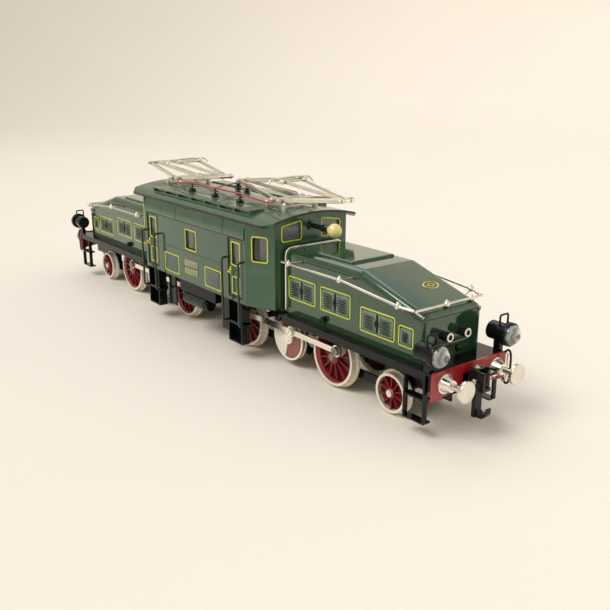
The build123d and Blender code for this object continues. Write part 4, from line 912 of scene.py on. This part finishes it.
for place, end in ENDS:
    body = f"{place}_bogie"
    silver, glow, wire, iron = Shape(), Shape(), Shape(), Shape()
    lens_low, lens_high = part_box(f"{place}_lamp_lenses")
    lens_back = max(abs(lens_low.x), abs(lens_high.x)) - LENS_DEPTH
    lamp_z = (lens_low.z + lens_high.z) / 2
    for hand, side in SIDES:
        centre = Vector((end * lens_back, side * LAMP_Y, lamp_z))
        silver.turned(centre, (end, 0, 0), in_mm(BOWL), 40)
        glow.turned(centre, (end, 0, 0), in_mm(LAMP_BULB), 24)
        wire.turned((end * RIM_FRONT_X, side * LAMP_Y, lamp_z), (end, 0, 0), in_mm(RIM_RING), 40)
    silver.piece(f"{place}_reflectors", mirror, body, "nickel")
    glow.piece(f"{place}_headlamp_bulbs", bulb, body, "bulb_glass")
    wire.piece(f"{place}_lamp_rims", black, body, "black_enamel")

    # rings and plugs of the nose sockets, and a knob below them
    hood_low, hood_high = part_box(f"{place}_hood")
    tip, rear = (pick(abs(hood_low.x), abs(hood_high.x)) for pick in (max, min))
    rings = Shape()
    for y in SOCKET_YS:
        rings.turned((end * (tip - 0.6 * MM), y * MM, z(SOCKET_Z)), (end, 0, 0), in_mm(SOCKET_RING), 28)
        iron.turned((end * (tip - 0.45 * MM), y * MM, z(SOCKET_Z)), (end, 0, 0), in_mm(SOCKET_PLUG), 20)
    iron.turned((end * NOSE_X, 4.0 * MM, z(39.0)), (end, 0, 0), in_mm(NOSE_KNOB), 20)
    rings.piece(f"{place}_socket_rings", plated, body, "nickel")
    iron.piece(f"{place}_nose_fittings", black, body, "black_enamel")

    # the bead round the hood's rear edge
    path = [(-BEAD_Y, z(36.4)), (-BEAD_Y, BEAD_TOP - BEAD_TURN)]
    path += [(-BEAD_Y + BEAD_TURN * (1 - math.cos(t)), BEAD_TOP - BEAD_TURN * (1 - math.sin(t)))
             for t in (math.pi / 2 * k / 6 for k in range(1, 7))]
    path += [(-y, height) for y, height in reversed(path)]
    bead = Shape()
    bead.tube([(end * (rear + 0.5 * MM), y, height) for y, height in path], BEAD_R, 12)
    bead.piece(f"{place}_hood_bead", plated, body, "nickel")

    # a plain ornament on the slope: an oval and a lozenge
    slope = Surface((end * BEND_X, 0, z(74.0)), (0, end, 0), (-end * NOSE_RUN, 0, NOSE_DROP))
    badge_a, badge_b = end * BADGE_Y, -BADGE_DOWN * math.hypot(NOSE_DROP, NOSE_RUN)
    badge = Shape()
    oval = [(badge_a + 5.2 * MM * math.cos(t), badge_b + 3.6 * MM * math.sin(t)) for t in round_steps(36)]
    badge.band(slope, oval, 0.6 * MM, -0.02 * MM, 0.4 * MM)
    lozenge = rounded_polygon([(badge_a - 2.8 * MM, badge_b), (badge_a, badge_b - 1.7 * MM),
                               (badge_a + 2.8 * MM, badge_b), (badge_a, badge_b + 1.7 * MM)], 0.3 * MM, 3)
    badge.band(slope, lozenge, 0.45 * MM, -0.02 * MM, 0.35 * MM)
    badge.piece(f"{place}_nose_ornament", gold, body, "brass")

    # air hose: a bright pipe and a black hose that hang from the beam beside one buffer
    pipe, hose = Shape(), Shape()
    for shape, inset, radius in ((pipe, 1.3, 0.45), (hose, 0.0, 0.6)):
        route = [(-0.3, 34.4), (1.8, 36.9 - inset), (3.4, 36.4 - inset), (4.1 - inset, 34.0),
                 (4.2 - inset, 28.0), (4.0 - inset, 21.8 + inset), (3.2 - inset, 19.2 + inset),
                 (1.6 - inset, 18.6 + inset), (0.2, 20.8)]
        points = smooth_route([(BEAM_FACE_X + out * MM, z(height)) for out, height in route])
        y = end * (26.2 - 0.8 * inset) * MM
        shape.tube([(end * x, y, height) for x, height in points], radius * MM, 10)
    pipe.piece(f"{place}_air_pipe", plated, body, "nickel")
    hose.piece(f"{place}_air_hose", black, body, "black_enamel")

# balls on the handrail posts, and the fittings of the coupler
BALL_R = 1.8
RAIL_BALL = [(-BALL_R * math.cos(t), BALL_R * math.sin(t))
             for t in (math.pi * (k + 0.2) / 12.4 for k in range(13))]
BALLS = [(x, side * 27.2, height) for x, height in ((98.0, 67.4), (144.0, 67.4), (189.0, 63.5))
         for side in (-1, 1)]
BALLS += [(199.0, y, 62.6) for y in (-2.5, 16.0)]
BALL_CAP = ((0, 0.7), (0.5, 0.75), (0.8, 0.3))
BOW = ((221.0, -4.2), (225.0, -4.6), (228.4, -3.4), (229.2, 0.0), (228.4, 3.4), (225.0, 4.6), (221.0, 4.2))
NUT = ((0.0, 1.35), (0.2, 1.5), (0.9, 1.5), (1.1, 1.3))
STUD = ((0, 0.8), (0.7, 0.8), (1.0, 0.4))
for place, end in ENDS:
    balls, bow, nuts = Shape(), Shape(), Shape()
    for x, y, height in BALLS:
        balls.turned((end * x * MM, y * MM, z(height)), (0, 0, 1), in_mm(RAIL_BALL), 20)
        balls.turned((end * x * MM, y * MM, z(height + 1.6)), (0, 0, 1), in_mm(BALL_CAP), 12)
    balls.piece(f"{place}_handrail_balls", plated, f"{place}_bogie", "nickel")
    bow.tube([(end * x * MM, y * MM, z(33.9)) for x, y in smooth_route(BOW)], 0.65 * MM, 10)
    nuts.turned((end * 219.0 * MM, 0, z(33.3)), (0, 0, 1), in_mm(NUT), 6)
    nuts.turned((end * 219.0 * MM, 0, z(34.3)), (0, 0, 1), in_mm(STUD), 12)
    for y in (-5.0, 5.0):
        nuts.turned((end * 222.2 * MM, y * MM, z(28.6)), (0, y, 0), in_mm(NUT), 6)
    bow.piece(f"{place}_coupler_bow", black, f"{place}_coupler", "black_enamel")
    nuts.piece(f"{place}_coupler_nuts", plated_dull, f"{place}_coupler", "nickel")

# broad sheds on the roof insulators, and the springs and bolts of the pantograph bases
SHED = ((0.0, 1.0), (0.1, 2.5), (0.35, 2.85), (0.6, 2.7), (1.0, 1.6), (1.25, 1.0))
INSULATORS = [(x, -16.0, (94.3, 96.4)) for x in (-30.5, 0.0, 30.5)]
INSULATORS += [(-8.0, 8.0, (95.0, 97.2, 99.4)), (2.0, 8.5, (95.0, 96.6))]
sheds = Shape()
for x, y, heights in INSULATORS:
    for height in heights:
        sheds.turned((x * MM, y * MM, z(height)), (0, 0, 1), in_mm(SHED), 24)
sheds.piece("insulator_sheds", glaze, "cab", "insulator_glaze")
SPRING_TURNS, SPRING_STEPS, SPRING_R, SPRING_LENGTH = 26, 8, 0.42, 19.0
BASE_X = 64.0                               # middle of a pantograph's base
BASE_NUT, BASE_STUD = ((0, 1.1), (0.7, 1.1), (0.9, 0.8)), ((0, 0.6), (0.5, 0.55), (0.7, 0.2))
springs, bolts = Shape(), Shape()
for place, end in ENDS:
    middle_x = end * BASE_X
    for y in (-6.0, 6.0):
        points = []
        for k in range(SPRING_TURNS * SPRING_STEPS + 1):
            t, share = 2 * math.pi * k / SPRING_STEPS, k / (SPRING_TURNS * SPRING_STEPS)
            points.append(((middle_x - 9.5 + SPRING_LENGTH * share) * MM, (y + SPRING_R * math.cos(t)) * MM,
                           z(97.1 + SPRING_R * math.sin(t))))
        springs.tube(points, 0.15 * MM, 6)
    for x in (-9.0, 9.0):
        for y in (-12.0, 12.0):
            bolts.turned(((middle_x + x) * MM, y * MM, z(96.6)), (0, 0, 1), in_mm(BASE_NUT), 6)
            bolts.turned(((middle_x + x) * MM, y * MM, z(97.4)), (0, 0, 1), in_mm(BASE_STUD), 12)
springs.piece("pantograph_springs", plated_dull, "cab", "nickel")
bolts.piece("pantograph_bolts", plated, "cab", "nickel")

# ---- stage ----
BACKDROP_FLAT, BACKDROP_BEND, BACKDROP_TOP = 1.7, 1.0, 2.1
section = [(0.02, 0.0), (0.6, 0.0), (1.2, 0.0), (BACKDROP_FLAT, 0.0)]
section += [(BACKDROP_FLAT + BACKDROP_BEND * math.sin(t), BACKDROP_BEND * (1 - math.cos(t)))
            for t in (math.pi / 2 * k / 12 for k in range(1, 13))]
section += [(BACKDROP_FLAT + BACKDROP_BEND, BACKDROP_TOP)]
BACKDROP_TURNS = 72
points, faces = [], []
for angle in round_steps(BACKDROP_TURNS):
    points += [(r * math.cos(angle), r * math.sin(angle), height) for r, height in section]
rows = len(section)
for k in range(BACKDROP_TURNS):
    here, there = k * rows, (k + 1) % BACKDROP_TURNS * rows
    faces += [(here + i, there + i, there + i + 1, here + i + 1) for i in range(rows - 1)]
faces.append(tuple(k * rows for k in reversed(range(BACKDROP_TURNS))))
backdrop_mesh = bpy.data.meshes.new("backdrop")
backdrop_mesh.from_pydata(points, [], faces)
for polygon in backdrop_mesh.polygons:
    polygon.use_smooth = True
backdrop = bpy.data.objects.new("backdrop", backdrop_mesh)
bpy.context.scene.collection.objects.link(backdrop)
pale = Paint("pale_backdrop")
PAPER, PAPER_LIGHT = (0.850, 0.790, 0.705), (0.860, 0.800, 0.715)
pale.to(pale.ramp(pale.noise(3, 2), (0.3, PAPER), (0.7, PAPER_LIGHT)), "Base Color")
pale.set(Roughness=0.95, Specular_IOR_Level=0.1)
backdrop.data.materials.append(pale.material)

SKY, SKY_STRENGTH, SUN_DISTANCE = (0.98, 0.99, 1.0, 1), 0.60, 2.0
SUN_COLOUR = (1.0, 0.99, 0.97)
world = bpy.data.worlds.new("studio")
bpy.context.scene.world = world
world.use_nodes = True
world.node_tree.nodes["Background"].inputs["Color"].default_value = SKY
world.node_tree.nodes["Background"].inputs["Strength"].default_value = SKY_STRENGTH


def soft_sun(name, towards, angle, power):
    """A far, wide, soft light; towards is the way from the locomotive to it."""
    data = bpy.data.lights.new(name, "SUN")
    data.angle, data.energy, data.color = math.radians(angle), power, SUN_COLOUR
    lamp = bpy.data.objects.new(name, data)
    bpy.context.scene.collection.objects.link(lamp)
    lamp.location = Vector(towards).normalized() * SUN_DISTANCE
    lamp.rotation_euler = Vector(towards).to_track_quat("Z", "Y").to_euler()


soft_sun("key", (-0.15, -0.62, 0.78), 32, 1.7)
soft_sun("back", (-0.75, 0.20, 0.80), 50, 0.7)

CAMERA_PLACE = Vector((0.456879, -0.292570, 0.178463))
CAMERA_AIM = Vector((0.078758, 0.0, 0.034234))
CAMERA_ROLL = math.radians(0.164)
CAMERA_LENS, CAMERA_SENSOR = 46.556, 36.0       # in mm, fitted to the photograph with the place and aim
camera_data = bpy.data.cameras.new("camera")
camera_data.lens, camera_data.sensor_width = CAMERA_LENS, CAMERA_SENSOR
camera_data.clip_start, camera_data.clip_end = 0.01, 20
camera = bpy.data.objects.new("camera", camera_data)
bpy.context.scene.collection.objects.link(camera)
look = (CAMERA_AIM - CAMERA_PLACE).to_track_quat("-Z", "Y").to_matrix().to_4x4()
camera.matrix_world = Matrix.Translation(CAMERA_PLACE) @ look @ Matrix.Rotation(CAMERA_ROLL, 4, "Z")
bpy.context.scene.camera = camera
bpy.context.scene.view_settings.view_transform = "Standard"
